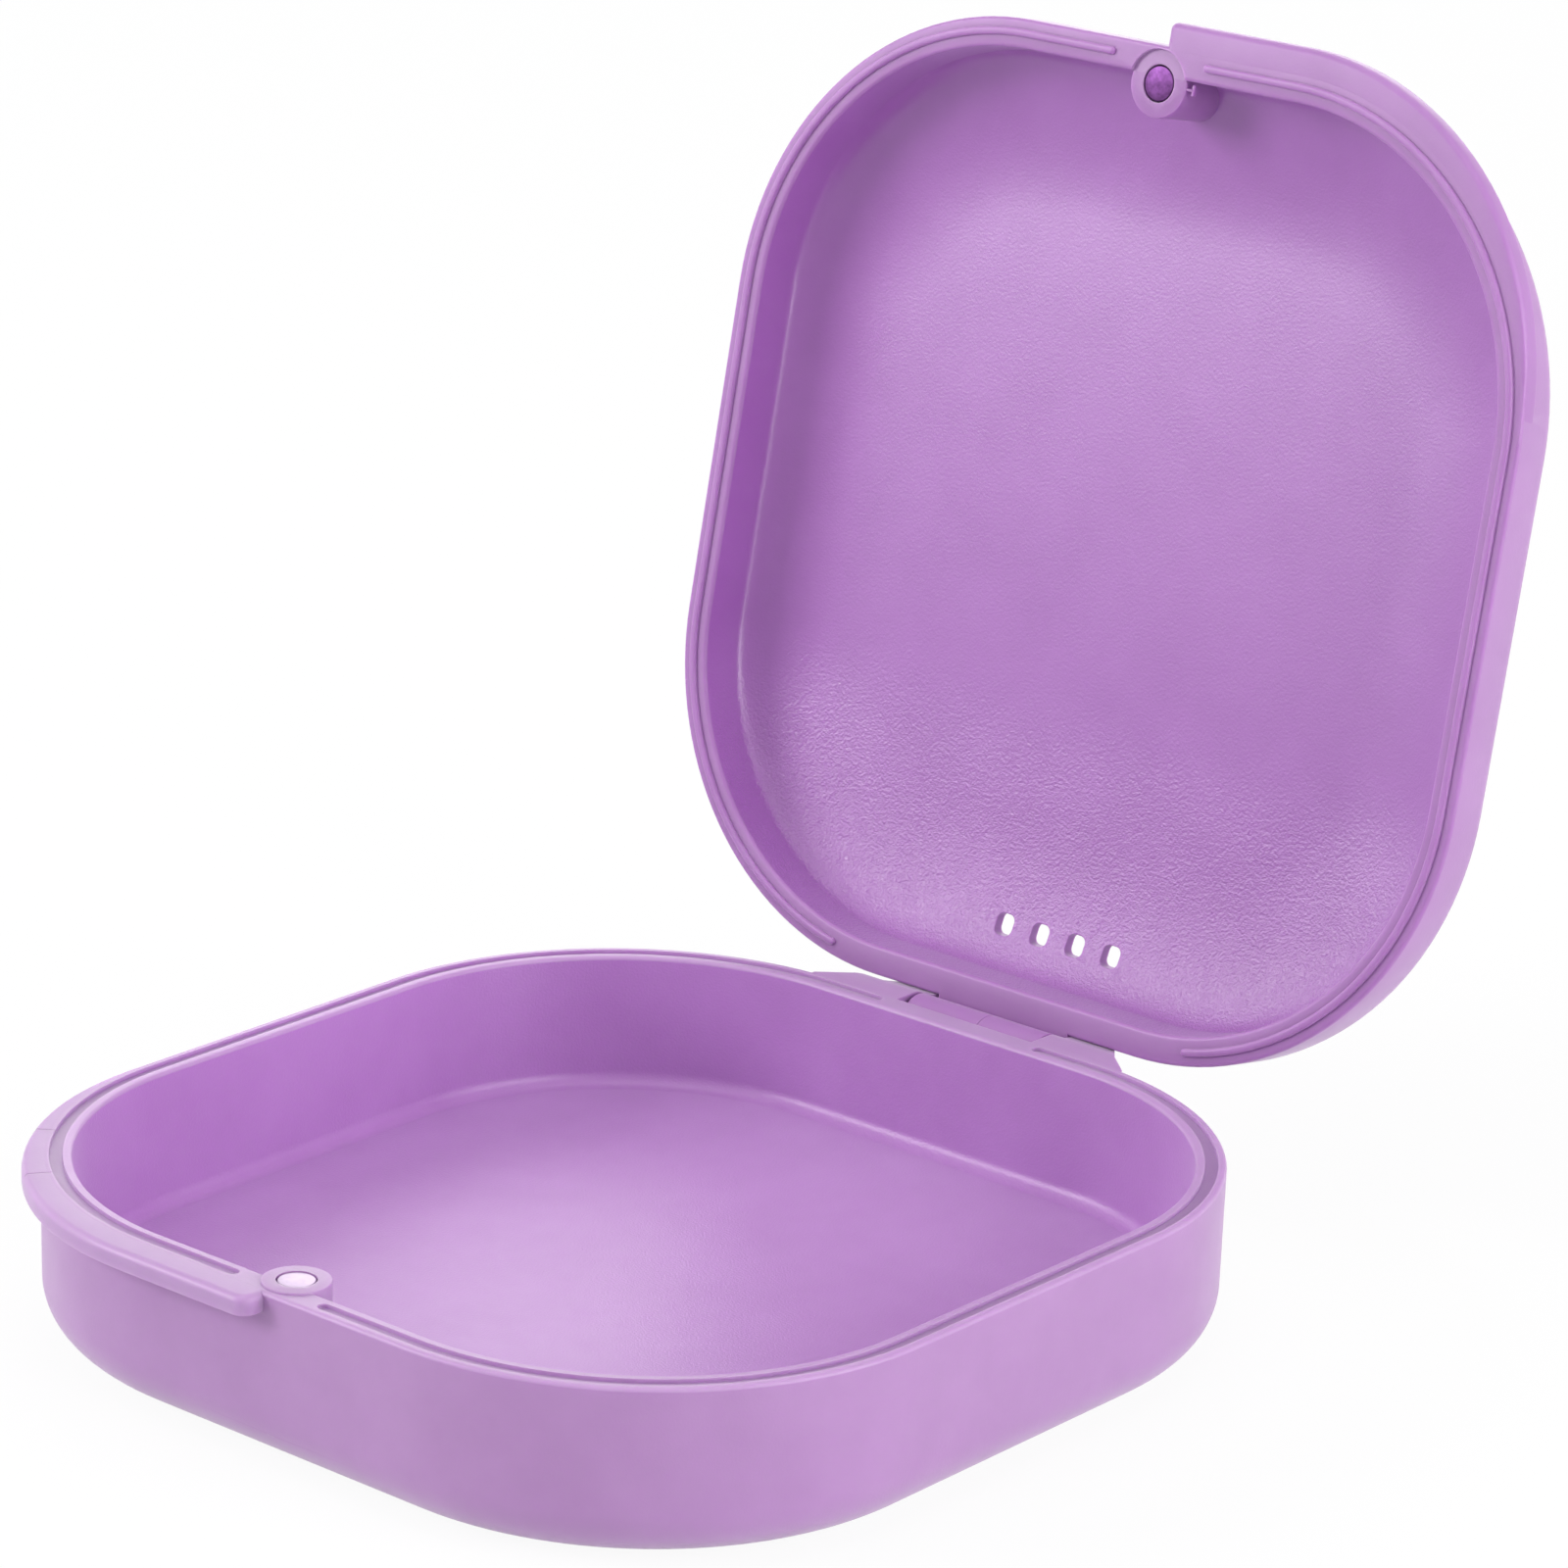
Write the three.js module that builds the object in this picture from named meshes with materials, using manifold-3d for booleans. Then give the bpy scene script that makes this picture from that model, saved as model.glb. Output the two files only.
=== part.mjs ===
// Hinged retainer case with a magnetic catch, shown open.
// Millimetres, +Z up. The origin is the middle of the underside of the base.
// +X runs along the hinge to the right, and +Y runs from the catch back to the hinge.

import * as THREE from "three";
import { mergeVertices } from "three/addons/utils/BufferGeometryUtils.js";
import Module from "manifold-3d";

const wasm = await Module();
wasm.setup();

// Outline of the case at its rim, a square with round corners
const halfWidth = 40;
const halfDepth = 40.5;
const cornerRadius = 26.3;

// Rim that the two halves share
const rimWidth = 2.45;
const rimEdgeRound = 0.3;
const rimGap = 0.15;

// Base shell, measured down from its rim
const baseHeight = 14.4;
const baseFootRise = 4.7;
const baseFootReach = 5.5;
const baseOuterDraftShare = 0.008;
const baseFloorThickness = 3;
const baseFloorFillet = 3.5;
const baseInnerDraftShare = 0.02;

// Lid shell, measured up from its rim
const lidHeight = 8.2;
const lidDomeRise = 4.6;
const lidDomeReach = 18;
const lidOuterDraftShare = 0.01;
const lidCeilingThickness = 1.1;
const lidCeilingRise = 3.3;
const lidCeilingReach = 13;
const lidInnerDraftShare = 0.02;

// Groove in the rim of the base, which runs between the catch and the hinge on each side
const grooveInset = 1.175;
const grooveWidth = 1.05;
const grooveDepth = 0.7;
const grooveCatchEnd = 4.7;
const grooveHingeEnd = 8.5;

// Bead under the rim of the lid, which drops into the groove
const beadTipWidth = 0.4;
const beadTaper = 0.125;
const beadHeight = 0.5;
const beadCatchEnd = 4.85;
const beadHingeEnd = 19;

// Finger lips, one on each half, to the two sides of the catch
const lipReach = 2;
const lipSettle = 0.3;
const lipThickness = 1.6;
const lipEdgeRound = 0.6;
const lipCatchEnd = 0.35;
const baseLipCornerRadius = 1.3;
const lidLipCornerRadius = 0.6;

// Catch magnets and the bosses that hold them
const magnetRadius = 1.45;
const magnetLength = 2;
const magnetChamfer = 0.1;
const magnetClearance = 0.1;
const magnetGlueGap = 0.3;
const magnetRecess = 0.05;
const bossRadius = 2.65;
const bossInset = 3.1;
const baseBossRise = 0.2;
const lidBossRecess = 0.35;
const bossClearance = 0.15;

// Hinge: its axis lies behind the back wall, one barrel radius under the rim of the base
const hingeBehind = 2;
const barrelRadius = 2.35;
const openAngle = THREE.MathUtils.degToRad(101);
const lugInnerEnd = 7.1;
const lugOuterEnd = 14;
const lugFlare = 2.3;
const lugHeelTaper = 3;
const lugHeelReach = 4;
const lugHeelHeight = 1.6;
const lugUndersideDrop = 6;
const stopGap = 0.3;
const knuckleGapLeft = 0.4;
const knuckleGapRight = 0.2;
const knuckleClearance = 0.3;
const webLedge = 0.6;

// Hinge pin, pushed in from the left through an open bore
const pinRadius = 0.75;
const pinChamfer = 0.15;
const pinClearance = 0.2;
const pinEndCover = 1.4;
const pinOpenEndRecess = 0.6;

// Vent slots through the dome beside the hinge
const ventCount = 4;
const ventPitch = 3.75;
const ventWidth = 1.8;
const ventLength = 1.85;
const ventCornerRadius = 0.6;
const ventInset = 6.05;

// How far a joined piece sinks into what carries it, and how far a cutter runs past it
const sink = 1.2;
const overrun = 2;

// Facets
const cornerSteps = 16;
const profileSteps = 7;
const roundSteps = 2;
const discSides = 40;
const barrelSides = 36;
const boreSides = 20;
const endSteps = 6;

// Places that follow from the sizes
const frontRun = halfWidth - cornerRadius;
const sideRun = halfDepth - cornerRadius;
const cornerRun = (cornerRadius * Math.PI) / 2;
const quarterTurn = frontRun + cornerRun + sideRun;
const halfTurn = 2 * quarterTurn;
const baseFloorDepth = baseHeight - baseFloorThickness;
const lidCeilingHeight = lidHeight - lidCeilingThickness;
const hingeY = halfDepth + hingeBehind;
const hingeZ = baseHeight - barrelRadius;
const lidRimZ = baseHeight + rimGap;
const bossY = -(halfDepth - bossInset);
const ventY = halfDepth - ventInset;

const lilac = new THREE.MeshStandardMaterial({ color: 0xb98bd0, roughness: 0.42, metalness: 0 });
const nickel = new THREE.MeshStandardMaterial({ color: 0xd8d4dc, roughness: 0.18, metalness: 1 });
const steel = new THREE.MeshStandardMaterial({ color: 0xb9bbc0, roughness: 0.3, metalness: 1 });

// A point of the outline, moved in from the edge by an inset. The walk starts at the middle of the
// front, runs to the right for positive lengths and to the left for negative ones, and meets itself
// at the middle of the back after half a turn.
function outlinePoint(along, inset) {
  const walked = Math.min(Math.abs(along), halfTurn - Math.abs(along));
  const hand = along < 0 ? -1 : 1;
  const depthways = Math.abs(along) > quarterTurn ? 1 : -1;
  const turned = THREE.MathUtils.clamp(walked - frontRun, 0, cornerRun) / cornerRadius;
  const radius = cornerRadius - inset;
  const x = Math.min(walked, frontRun) + radius * Math.sin(turned);
  const pastCorner = Math.max(0, walked - frontRun - cornerRun);
  const y = sideRun - pastCorner + radius * Math.cos(turned);
  return new THREE.Vector2(hand * x, depthways * y);
}

// The places along the outline that a ring of points needs: the ends and the steps of each corner
function outlineStations() {
  const corner = Array.from({ length: cornerSteps + 1 }, (_, k) => frontRun + cornerRun * (k / cornerSteps));
  const right = [...corner, ...corner.map((along) => halfTurn - along).reverse()];
  const left = right.map((along) => -along).reverse();
  return [...left, ...right];
}

const stations = outlineStations();

// The stations between two places, with the places themselves
function stationsBetween(start, end) {
  return [start, ...stations.filter((along) => along > start && along < end), end];
}

// A closed skin through a stack of rings with equally many points, closed flat at both ends. Rings run
// anticlockwise seen from above, and the stack starts below or outside where it climbs.
function skin(rings) {
  const count = rings[0].length;
  const positions = rings.flat().flatMap((point) => [point.x, point.y, point.z]);
  const index = [];
  for (let r = 0; r + 1 < rings.length; r += 1) {
    for (let k = 0; k < count; k += 1) {
      const next = (k + 1) % count;
      const [a, b, c, d] = [r * count + k, r * count + next, (r + 1) * count + next, (r + 1) * count + k];
      index.push(a, b, c, a, c, d);
    }
  }
  const flat = (ring) => ring.map((point) => new THREE.Vector2(point.x, point.y));
  const cap = (ring) => THREE.ShapeUtils.triangulateShape(flat(ring), []);
  const top = (rings.length - 1) * count;
  cap(rings[0]).forEach(([a, b, c]) => index.push(c, b, a));
  cap(rings[rings.length - 1]).forEach(([a, b, c]) => index.push(top + a, top + b, top + c));
  const geometry = new THREE.BufferGeometry();
  geometry.setAttribute("position", new THREE.Float32BufferAttribute(positions, 3));
  geometry.setIndex(index);
  return geometry;
}

// The whole outline at one inset and height
function outlineRing(inset, z) {
  return stations.map((along) => {
    const point = outlinePoint(along, inset);
    return new THREE.Vector3(point.x, point.y, z);
  });
}

// A geometry as a solid for joining and cutting, and back
function solid(geometry) {
  const bare = new THREE.BufferGeometry();
  bare.setAttribute("position", geometry.getAttribute("position"));
  bare.setIndex(geometry.getIndex());
  const merged = mergeVertices(bare);
  const vertProperties = new Float32Array(merged.getAttribute("position").array);
  const triVerts = new Uint32Array(merged.getIndex().array);
  return new wasm.Manifold(new wasm.Mesh({ numProp: 3, vertProperties, triVerts }));
}

function meshFrom(name, shape, material) {
  const { vertProperties, triVerts } = shape.getMesh();
  const geometry = new THREE.BufferGeometry();
  geometry.setAttribute("position", new THREE.Float32BufferAttribute(vertProperties, 3));
  geometry.setIndex(new THREE.Uint32BufferAttribute(triVerts, 1));
  geometry.computeVertexNormals();
  return namedMesh(name, geometry, material);
}

function namedMesh(name, geometry, material) {
  const mesh = new THREE.Mesh(geometry, material);
  mesh.name = name;
  return mesh;
}

// A quarter of an ellipse from its side to its end, as pairs of shares of its reach and its rise
function quarterShares(steps) {
  return Array.from({ length: steps + 1 }, (_, k) => {
    const angle = (Math.PI / 2) * (k / steps);
    return [1 - Math.cos(angle), Math.sin(angle)];
  });
}

// One surface of a moulded half, from its rim to its flat middle, as pairs of inset and depth
function wallProfile({ inset, draftShare, depth, rise, reach }) {
  const straight = depth - rise;
  const lean = inset + draftShare * straight;
  return quarterShares(profileSteps).map(([reachShare, riseShare]) => [
    lean + reach * reachShare,
    straight + rise * riseShare,
  ]);
}

// A moulded half: outer surface, rounded rim and inner surface in one run of insets and depths
function shellProfile(outer, inner) {
  const edge = quarterShares(roundSteps).map(([a, b]) => [rimEdgeRound * a, rimEdgeRound * (1 - b)]);
  const innerEdge = edge.map(([inset, depth]) => [rimWidth - inset, depth]).reverse();
  return [...wallProfile(outer).reverse(), ...edge, ...innerEdge, ...wallProfile(inner)];
}

const baseOuter = {
  inset: 0,
  draftShare: baseOuterDraftShare,
  depth: baseHeight,
  rise: baseFootRise,
  reach: baseFootReach,
};
const baseInner = {
  inset: rimWidth,
  draftShare: baseInnerDraftShare,
  depth: baseFloorDepth,
  rise: baseFloorFillet,
  reach: baseFloorFillet,
};
const lidOuter = {
  inset: 0,
  draftShare: lidOuterDraftShare,
  depth: lidHeight,
  rise: lidDomeRise,
  reach: lidDomeReach,
};
const lidInner = {
  inset: rimWidth,
  draftShare: lidInnerDraftShare,
  depth: lidCeilingHeight,
  rise: lidCeilingRise,
  reach: lidCeilingReach,
};

// A band of the rim between two places on the outline, with round ends
function bandShape(start, end, inset, halfBand) {
  const outer = stationsBetween(start, end).map((along) => outlinePoint(along, inset - halfBand));
  const inner = stationsBetween(start, end).map((along) => outlinePoint(along, inset + halfBand));
  const roundEnd = (along, forward) => {
    const centre = outlinePoint(along, inset);
    const outward = outlinePoint(along, inset - halfBand).sub(centre);
    const ahead = new THREE.Vector2(-outward.y, outward.x);
    const turns = Array.from({ length: endSteps - 1 }, (_, k) => (Math.PI * (k + 1)) / endSteps);
    return turns.map((turn) => {
      const point = outward.clone().multiplyScalar(forward * Math.cos(turn));
      return point.addScaledVector(ahead, forward * Math.sin(turn)).add(centre);
    });
  };
  return new THREE.Shape([...outer, ...roundEnd(end, 1), ...inner.reverse(), ...roundEnd(start, -1)]);
}

// Both sides of the rim between the catch and the hinge, left and right
function rimSides(catchEnd, hingeEnd) {
  return [
    [-(halfTurn - hingeEnd), -catchEnd],
    [catchEnd, halfTurn - hingeEnd],
  ];
}

function grooves() {
  return rimSides(grooveCatchEnd, grooveHingeEnd).map(([start, end]) => {
    const shape = bandShape(start, end, grooveInset, grooveWidth / 2);
    const cutter = new THREE.ExtrudeGeometry(shape, { depth: grooveDepth + overrun, bevelEnabled: false });
    return solid(cutter.translate(0, 0, baseHeight - grooveDepth));
  });
}

function beads() {
  return rimSides(beadCatchEnd, beadHingeEnd).map(([start, end]) => {
    const shape = bandShape(start, end, grooveInset, beadTipWidth / 2);
    const bead = new THREE.ExtrudeGeometry(shape, {
      depth: sink,
      bevelThickness: beadHeight,
      bevelSize: beadTaper,
      bevelSegments: roundSteps,
    });
    return solid(bead);
  });
}

// A finger lip on one side of the catch: +1 is the right, -1 the left. Its edge is the outline moved
// forwards, so it is widest along the front and settles into the wall at the end of the corner.
function fingerLip(side, startCornerRadius, rimZ, away) {
  const startPlaces = quarterShares(endSteps).map(([share]) => lipCatchEnd + startCornerRadius * share);
  const sideEnd = frontRun + cornerRun;
  const between = stations.filter((along) => along > startPlaces[endSteps] && along < sideEnd);
  const places = [...startPlaces, ...between, sideEnd];
  const reachShare = (along) => {
    const start = Math.min(1, (along - lipCatchEnd) / startCornerRadius);
    const turned = Math.max(0, along - frontRun) / cornerRadius;
    return Math.sqrt(1 - (1 - start) ** 2) * Math.cos(turned);
  };
  const ring = (round, z) => {
    const outer = places.map((along) => {
      const reach = (lipReach - round + lipSettle) * reachShare(along) - lipSettle;
      return outlinePoint(side * along, -reach);
    });
    const inner = places.map((along) => outlinePoint(side * along, sink)).reverse();
    const points = side > 0 ? [...outer, ...inner] : [...outer, ...inner].reverse();
    return points.map((point) => new THREE.Vector3(point.x, point.y, z));
  };
  const edge = quarterShares(roundSteps).map(([inShare, outShare]) => {
    return ring(lipEdgeRound * inShare, rimZ + away * lipEdgeRound * (1 - outShare));
  });
  const stack = [ring(0, rimZ + away * lipThickness), ...edge];
  return solid(skin(away < 0 ? stack : stack.reverse()));
}

// An upright cylinder between two heights
function post(radius, x, y, bottom, top) {
  const cylinder = new THREE.CylinderGeometry(radius, radius, top - bottom, discSides);
  return solid(cylinder.rotateX(Math.PI / 2).translate(x, y, (bottom + top) / 2));
}

// A cylinder along the hinge axis between two ends
function barrel(radius, left, right, sides) {
  const cylinder = new THREE.CylinderGeometry(radius, radius, right - left, sides);
  return solid(cylinder.rotateZ(Math.PI / 2).translate((left + right) / 2, 0, 0));
}

// A side view, drawn as points back from and up from the hinge axis, made solid along the axis
function sideways(points, left, right) {
  const shape = new THREE.Shape(points.map(([back, up]) => new THREE.Vector2(back, up)));
  const geometry = new THREE.ExtrudeGeometry(shape, { depth: right - left, bevelEnabled: false });
  return solid(geometry.rotateX(Math.PI / 2).rotateZ(Math.PI / 2).translate(left, 0, 0));
}

// Where a point of the closed lid, seen from the hinge axis, lies when the lid is open
function openedPoint(back, up) {
  const cos = Math.cos(openAngle);
  const sin = Math.sin(openAngle);
  return [cos * back + sin * up, cos * up - sin * back];
}

// One lug of the base. Its heel is the stop that the open lid leans on, so it runs parallel to the
// lid's back wall there.
function hingeLug(side) {
  const [edgeBack, edgeUp] = openedPoint(-hingeBehind, barrelRadius + rimGap);
  const fallShare = Math.tan(openAngle - Math.PI / 2 - lidOuterDraftShare);
  const heelUp = (back) => edgeUp - stopGap - fallShare * (back - edgeBack);
  const root = -(hingeBehind + sink);
  const profile = [
    [root, barrelRadius],
    [root, -lugUndersideDrop],
    [-hingeBehind, -lugUndersideDrop],
    [lugHeelReach, heelUp(lugHeelReach) - lugHeelHeight],
    [lugHeelReach, heelUp(lugHeelReach)],
    [0, heelUp(0)],
    [0, barrelRadius],
  ];
  const left = side > 0 ? lugInnerEnd : -(lugOuterEnd + lugFlare);
  const right = side > 0 ? lugOuterEnd + lugFlare : -lugInnerEnd;
  const tall = 2 * (lugUndersideDrop + barrelRadius);
  const plan = new THREE.Shape([
    new THREE.Vector2(side * (lugInnerEnd - overrun), root - overrun),
    new THREE.Vector2(side * (lugOuterEnd + lugFlare), root - overrun),
    new THREE.Vector2(side * (lugOuterEnd + lugFlare), -hingeBehind),
    new THREE.Vector2(side * lugOuterEnd, 0),
    new THREE.Vector2(side * (lugOuterEnd - lugHeelTaper), lugHeelReach),
    new THREE.Vector2(side * (lugOuterEnd - lugHeelTaper), lugHeelReach + overrun),
    new THREE.Vector2(side * (lugInnerEnd - overrun), lugHeelReach + overrun),
  ]);
  const planBlock = new THREE.ExtrudeGeometry(plan, { depth: tall, bevelEnabled: false });
  const body = sideways(profile, left, right).add(barrel(barrelRadius, left, right, barrelSides));
  return body.intersect(solid(planBlock.translate(0, 0, -tall / 2))).translate(0, hingeY, hingeZ);
}

function pinBore() {
  const left = -(lugOuterEnd + lugFlare + overrun);
  const right = lugOuterEnd - pinEndCover + pinClearance;
  return barrel(pinRadius + pinClearance, left, right, boreSides);
}

function magnetPocket(faceZ, away) {
  const depth = magnetRecess + magnetLength + magnetGlueGap;
  const ends = [faceZ - away * overrun, faceZ + away * depth];
  return post(magnetRadius + magnetClearance, 0, bossY, Math.min(...ends), Math.max(...ends));
}

// Base shell, in the part's own frame
function baseShell() {
  const profile = shellProfile(baseOuter, baseInner);
  const rings = profile.map(([inset, depth]) => outlineRing(inset, baseHeight - depth));
  const bossTop = baseHeight + baseBossRise;
  const foot = wallProfile(baseOuter).map(([inset, depth]) => outlineRing(inset, baseHeight - depth));
  const envelope = solid(skin([...foot.reverse(), outlineRing(0, bossTop)]));
  const pillar = post(bossRadius, 0, bossY, baseHeight - baseFloorDepth - sink, bossTop).intersect(envelope);
  const recess = barrel(barrelRadius + knuckleClearance, -lugInnerEnd, lugInnerEnd, barrelSides);
  return solid(skin(rings))
    .add(fingerLip(-1, baseLipCornerRadius, baseHeight, -1))
    .add(pillar)
    .add(hingeLug(-1))
    .add(hingeLug(1))
    .subtract(recess.translate(0, hingeY, hingeZ))
    .subtract(wasm.Manifold.union(grooves()))
    .subtract(magnetPocket(bossTop, -1))
    .subtract(pinBore().translate(0, hingeY, hingeZ));
}

// The barrel of the lid, with the web that joins it to the lid's back wall over the rim of the base
function knuckle() {
  const left = -lugInnerEnd + knuckleGapLeft;
  const right = lugInnerEnd - knuckleGapRight;
  const tangent = barrelRadius * Math.SQRT1_2;
  const rim = barrelRadius + rimGap;
  const root = -(hingeBehind + sink);
  const gussetTop = 2 * tangent + hingeBehind;
  const web = sideways(
    [
      [root, rim],
      [-webLedge, rim],
      [-webLedge, 0],
      [tangent, tangent],
      [-hingeBehind, gussetTop],
      [root, gussetTop],
    ],
    left,
    right,
  );
  return barrel(barrelRadius, left, right, barrelSides).add(web);
}

function ventSlots() {
  const shape = new THREE.Shape();
  const [halfSlot, halfLength, round] = [ventWidth / 2, ventLength / 2, ventCornerRadius];
  shape.absarc(halfSlot - round, halfLength - round, round, 0, Math.PI / 2);
  shape.absarc(round - halfSlot, halfLength - round, round, Math.PI / 2, Math.PI);
  shape.absarc(round - halfSlot, round - halfLength, round, Math.PI, 1.5 * Math.PI);
  shape.absarc(halfSlot - round, round - halfLength, round, 1.5 * Math.PI, 2 * Math.PI);
  const options = { depth: lidHeight, bevelEnabled: false, curveSegments: endSteps };
  return Array.from({ length: ventCount }, (_, k) => {
    const slot = new THREE.ExtrudeGeometry(shape, options);
    return solid(slot.translate((k - (ventCount - 1) / 2) * ventPitch, ventY, sink));
  });
}

// Lid shell, closed, with its origin in the middle of its rim plane
function lidShell() {
  const rings = shellProfile(lidOuter, lidInner).map(([inset, depth]) => outlineRing(inset, depth));
  const dome = wallProfile(lidOuter).map(([inset, depth]) => outlineRing(inset, depth));
  const envelope = solid(skin([outlineRing(0, 0), ...dome]));
  const bossSeat = bossRadius + bossClearance;
  const boss = post(bossSeat, 0, bossY, lidBossRecess, lidHeight).intersect(envelope);
  return solid(skin(rings.reverse()))
    .add(boss)
    .add(fingerLip(1, lidLipCornerRadius, 0, 1))
    .add(wasm.Manifold.union(beads()))
    .add(knuckle().translate(0, hingeY, hingeZ - lidRimZ))
    .subtract(post(bossSeat, 0, bossY, -overrun, lidBossRecess))
    .subtract(wasm.Manifold.union(ventSlots()))
    .subtract(magnetPocket(lidBossRecess, 1))
    .subtract(pinBore().translate(0, hingeY, hingeZ - lidRimZ));
}

// A round bar with chamfered ends, standing on the origin
function roundBar(radius, length, chamfer) {
  const profile = [
    new THREE.Vector2(0, 0),
    new THREE.Vector2(radius - chamfer, 0),
    new THREE.Vector2(radius, chamfer),
    new THREE.Vector2(radius, length - chamfer),
    new THREE.Vector2(radius - chamfer, length),
    new THREE.Vector2(0, length),
  ];
  return new THREE.LatheGeometry(profile, discSides).rotateX(Math.PI / 2);
}

const magnetGeometry = roundBar(magnetRadius, magnetLength, magnetChamfer);

// Pieces of the base
const baseMesh = meshFrom("base_shell", baseShell(), lilac);
const baseMagnet = namedMesh("base_magnet", magnetGeometry, nickel);
baseMagnet.position.set(0, bossY, baseHeight + baseBossRise - magnetRecess - magnetLength);

const pinLeft = -(lugOuterEnd - pinOpenEndRecess);
const pinRight = lugOuterEnd - pinEndCover;
const hingePin = namedMesh("hinge_pin", roundBar(pinRadius, pinRight - pinLeft, pinChamfer), steel);
hingePin.position.set(pinLeft, hingeY, hingeZ);
hingePin.rotation.y = Math.PI / 2;

const base = new THREE.Group();
base.add(baseMesh, baseMagnet, hingePin);

// Pieces of the lid, which turn about the hinge axis
const lidMesh = meshFrom("lid_shell", lidShell(), lilac);
const lidMagnet = namedMesh("lid_magnet", magnetGeometry.clone(), nickel);
lidMagnet.position.set(0, bossY, lidBossRecess + magnetRecess);

const lidClosed = new THREE.Group();
lidClosed.position.set(0, -hingeY, lidRimZ - hingeZ);
lidClosed.add(lidMesh, lidMagnet);

const lid = new THREE.Group();
lid.position.set(0, hingeY, hingeZ);
lid.rotation.x = -openAngle;
lid.add(lidClosed);

const retainerCase = new THREE.Group();
retainerCase.add(base, lid);

export default retainerCase;
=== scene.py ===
"""Looks of a hinged retainer case in lilac satin plastic, shown open in a white studio.

The pieces are modelled in millimetres and brought to metres when they are finished. X runs along
the hinge, which is at the back, and Z is up.
"""

import logging
import math
from collections.abc import Callable, Iterable
from dataclasses import dataclass, field
from enum import Enum, IntEnum
from functools import cached_property

import bmesh
import bpy
from bmesh.types import BMEdge, BMesh, BMFace, BMVert
from bpy.types import Material, Node, NodeSocket, Object, World
from mathutils import Matrix, Vector


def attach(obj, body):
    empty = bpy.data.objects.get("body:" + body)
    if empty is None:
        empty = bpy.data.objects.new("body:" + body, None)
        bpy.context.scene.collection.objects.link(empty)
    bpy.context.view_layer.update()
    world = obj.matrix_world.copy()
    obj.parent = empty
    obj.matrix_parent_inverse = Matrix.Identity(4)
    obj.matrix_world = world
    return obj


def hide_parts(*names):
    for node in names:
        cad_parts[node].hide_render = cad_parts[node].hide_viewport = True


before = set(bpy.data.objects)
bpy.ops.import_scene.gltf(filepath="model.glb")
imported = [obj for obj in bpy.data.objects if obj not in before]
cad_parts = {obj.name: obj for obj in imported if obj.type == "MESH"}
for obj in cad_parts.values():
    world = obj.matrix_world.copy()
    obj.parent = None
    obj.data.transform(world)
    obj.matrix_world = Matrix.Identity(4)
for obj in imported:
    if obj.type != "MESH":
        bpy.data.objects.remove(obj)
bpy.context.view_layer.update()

Pair = tuple[float, float]
Place = tuple[float, float, float]
Colour = tuple[float, float, float, float]

METRES_PER_MM = 0.001
WELD_MM = 0.002
SLIVER_MM = 0.0005
NEAR_MM = 0.001
OVERCUT_MM = 2.0
SHARP_ANGLE = math.radians(34)
ORIGIN = (0, 0, 0)
ALONG_HINGE = (1, 0, 0)
UPWARD = (0, 0, 1)
UPTURNED = Matrix.Diagonal((-1, 1, -1, 1))
BLEND_STOPS = (0.3, 0.7)
LOG = logging.getLogger("retainer_case")


class Hand(Enum):
    """Side of the case, seen from the front."""

    LEFT = -1
    RIGHT = 1


class Joining(Enum):
    """How a boolean puts two solids together."""

    ADD = "UNION"
    CUT = "DIFFERENCE"
    KEEP_SHARED = "INTERSECT"


class Skin(Enum):
    """Surface of a moulding that a face belongs to, as its material index."""

    SATIN = 0
    GRAINED = 1
    # The rim and thin parts: their colour is lighter on the base as painted light and darker on
    # the lid as painted shade.
    THIN = 2


class Sides(IntEnum):
    """Number of sides of the round forms."""

    BORE = 40
    PIN = 48
    BARREL = 64
    BOSS = 72
    MAGNET = 96


def parts_of(kind: type, geometry: Iterable) -> list:
    """Pick the parts of one kind out of a mixed list of vertices, edges and faces."""
    return [part for part in geometry if isinstance(part, kind)]


def region(faces: list[BMFace]) -> list:
    """List faces with their edges and vertices, so that pulling them leaves nothing inside.

    Args:
        faces: The faces.

    Returns:
        Their vertices, their edges and the faces, in the same order each run.
    """
    edges = dict.fromkeys(edge for face in faces for edge in face.edges)
    verts = dict.fromkeys(vert for face in faces for vert in face.verts)
    return [*verts, *edges, *faces]


def move(bm: BMesh, shift: Place | Vector, verts: list[BMVert] | None = None) -> None:
    """Move some vertices, or all of them."""
    bmesh.ops.translate(bm, verts=bm.verts[:] if verts is None else verts, vec=shift)


def stretch(bm: BMesh, factors: Place, verts: list[BMVert] | None = None) -> None:
    """Scale some vertices, or all of them, about the origin."""
    bmesh.ops.scale(bm, verts=bm.verts[:] if verts is None else verts, vec=factors)


def rotate(bm: BMesh, degrees: float, axis: str, verts: list[BMVert] | None = None) -> None:
    """Turn some vertices, or all of them, about the "X", "Y" or "Z" axis."""
    matrix = Matrix.Rotation(math.radians(degrees), 3, axis)
    bmesh.ops.rotate(bm, verts=bm.verts[:] if verts is None else verts, cent=ORIGIN, matrix=matrix)


def spin(
    bm: BMesh, parts: list, centre: Place | Vector, axis: Place, angle: float, steps: int
) -> list:
    """Pull mesh parts round an axis.

    Args:
        bm: The mesh.
        parts: The parts.
        centre: A point of the axis.
        axis: Direction of the axis.
        angle: The turn in radians.
        steps: Number of steps in the turn.

    Returns:
        The far copy of the parts.
    """
    made = bmesh.ops.spin(
        bm,
        geom=parts,
        cent=centre,
        axis=axis,
        angle=angle,
        steps=steps,
        use_merge=False,
        use_duplicate=False,
    )
    return made["geom_last"]


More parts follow.
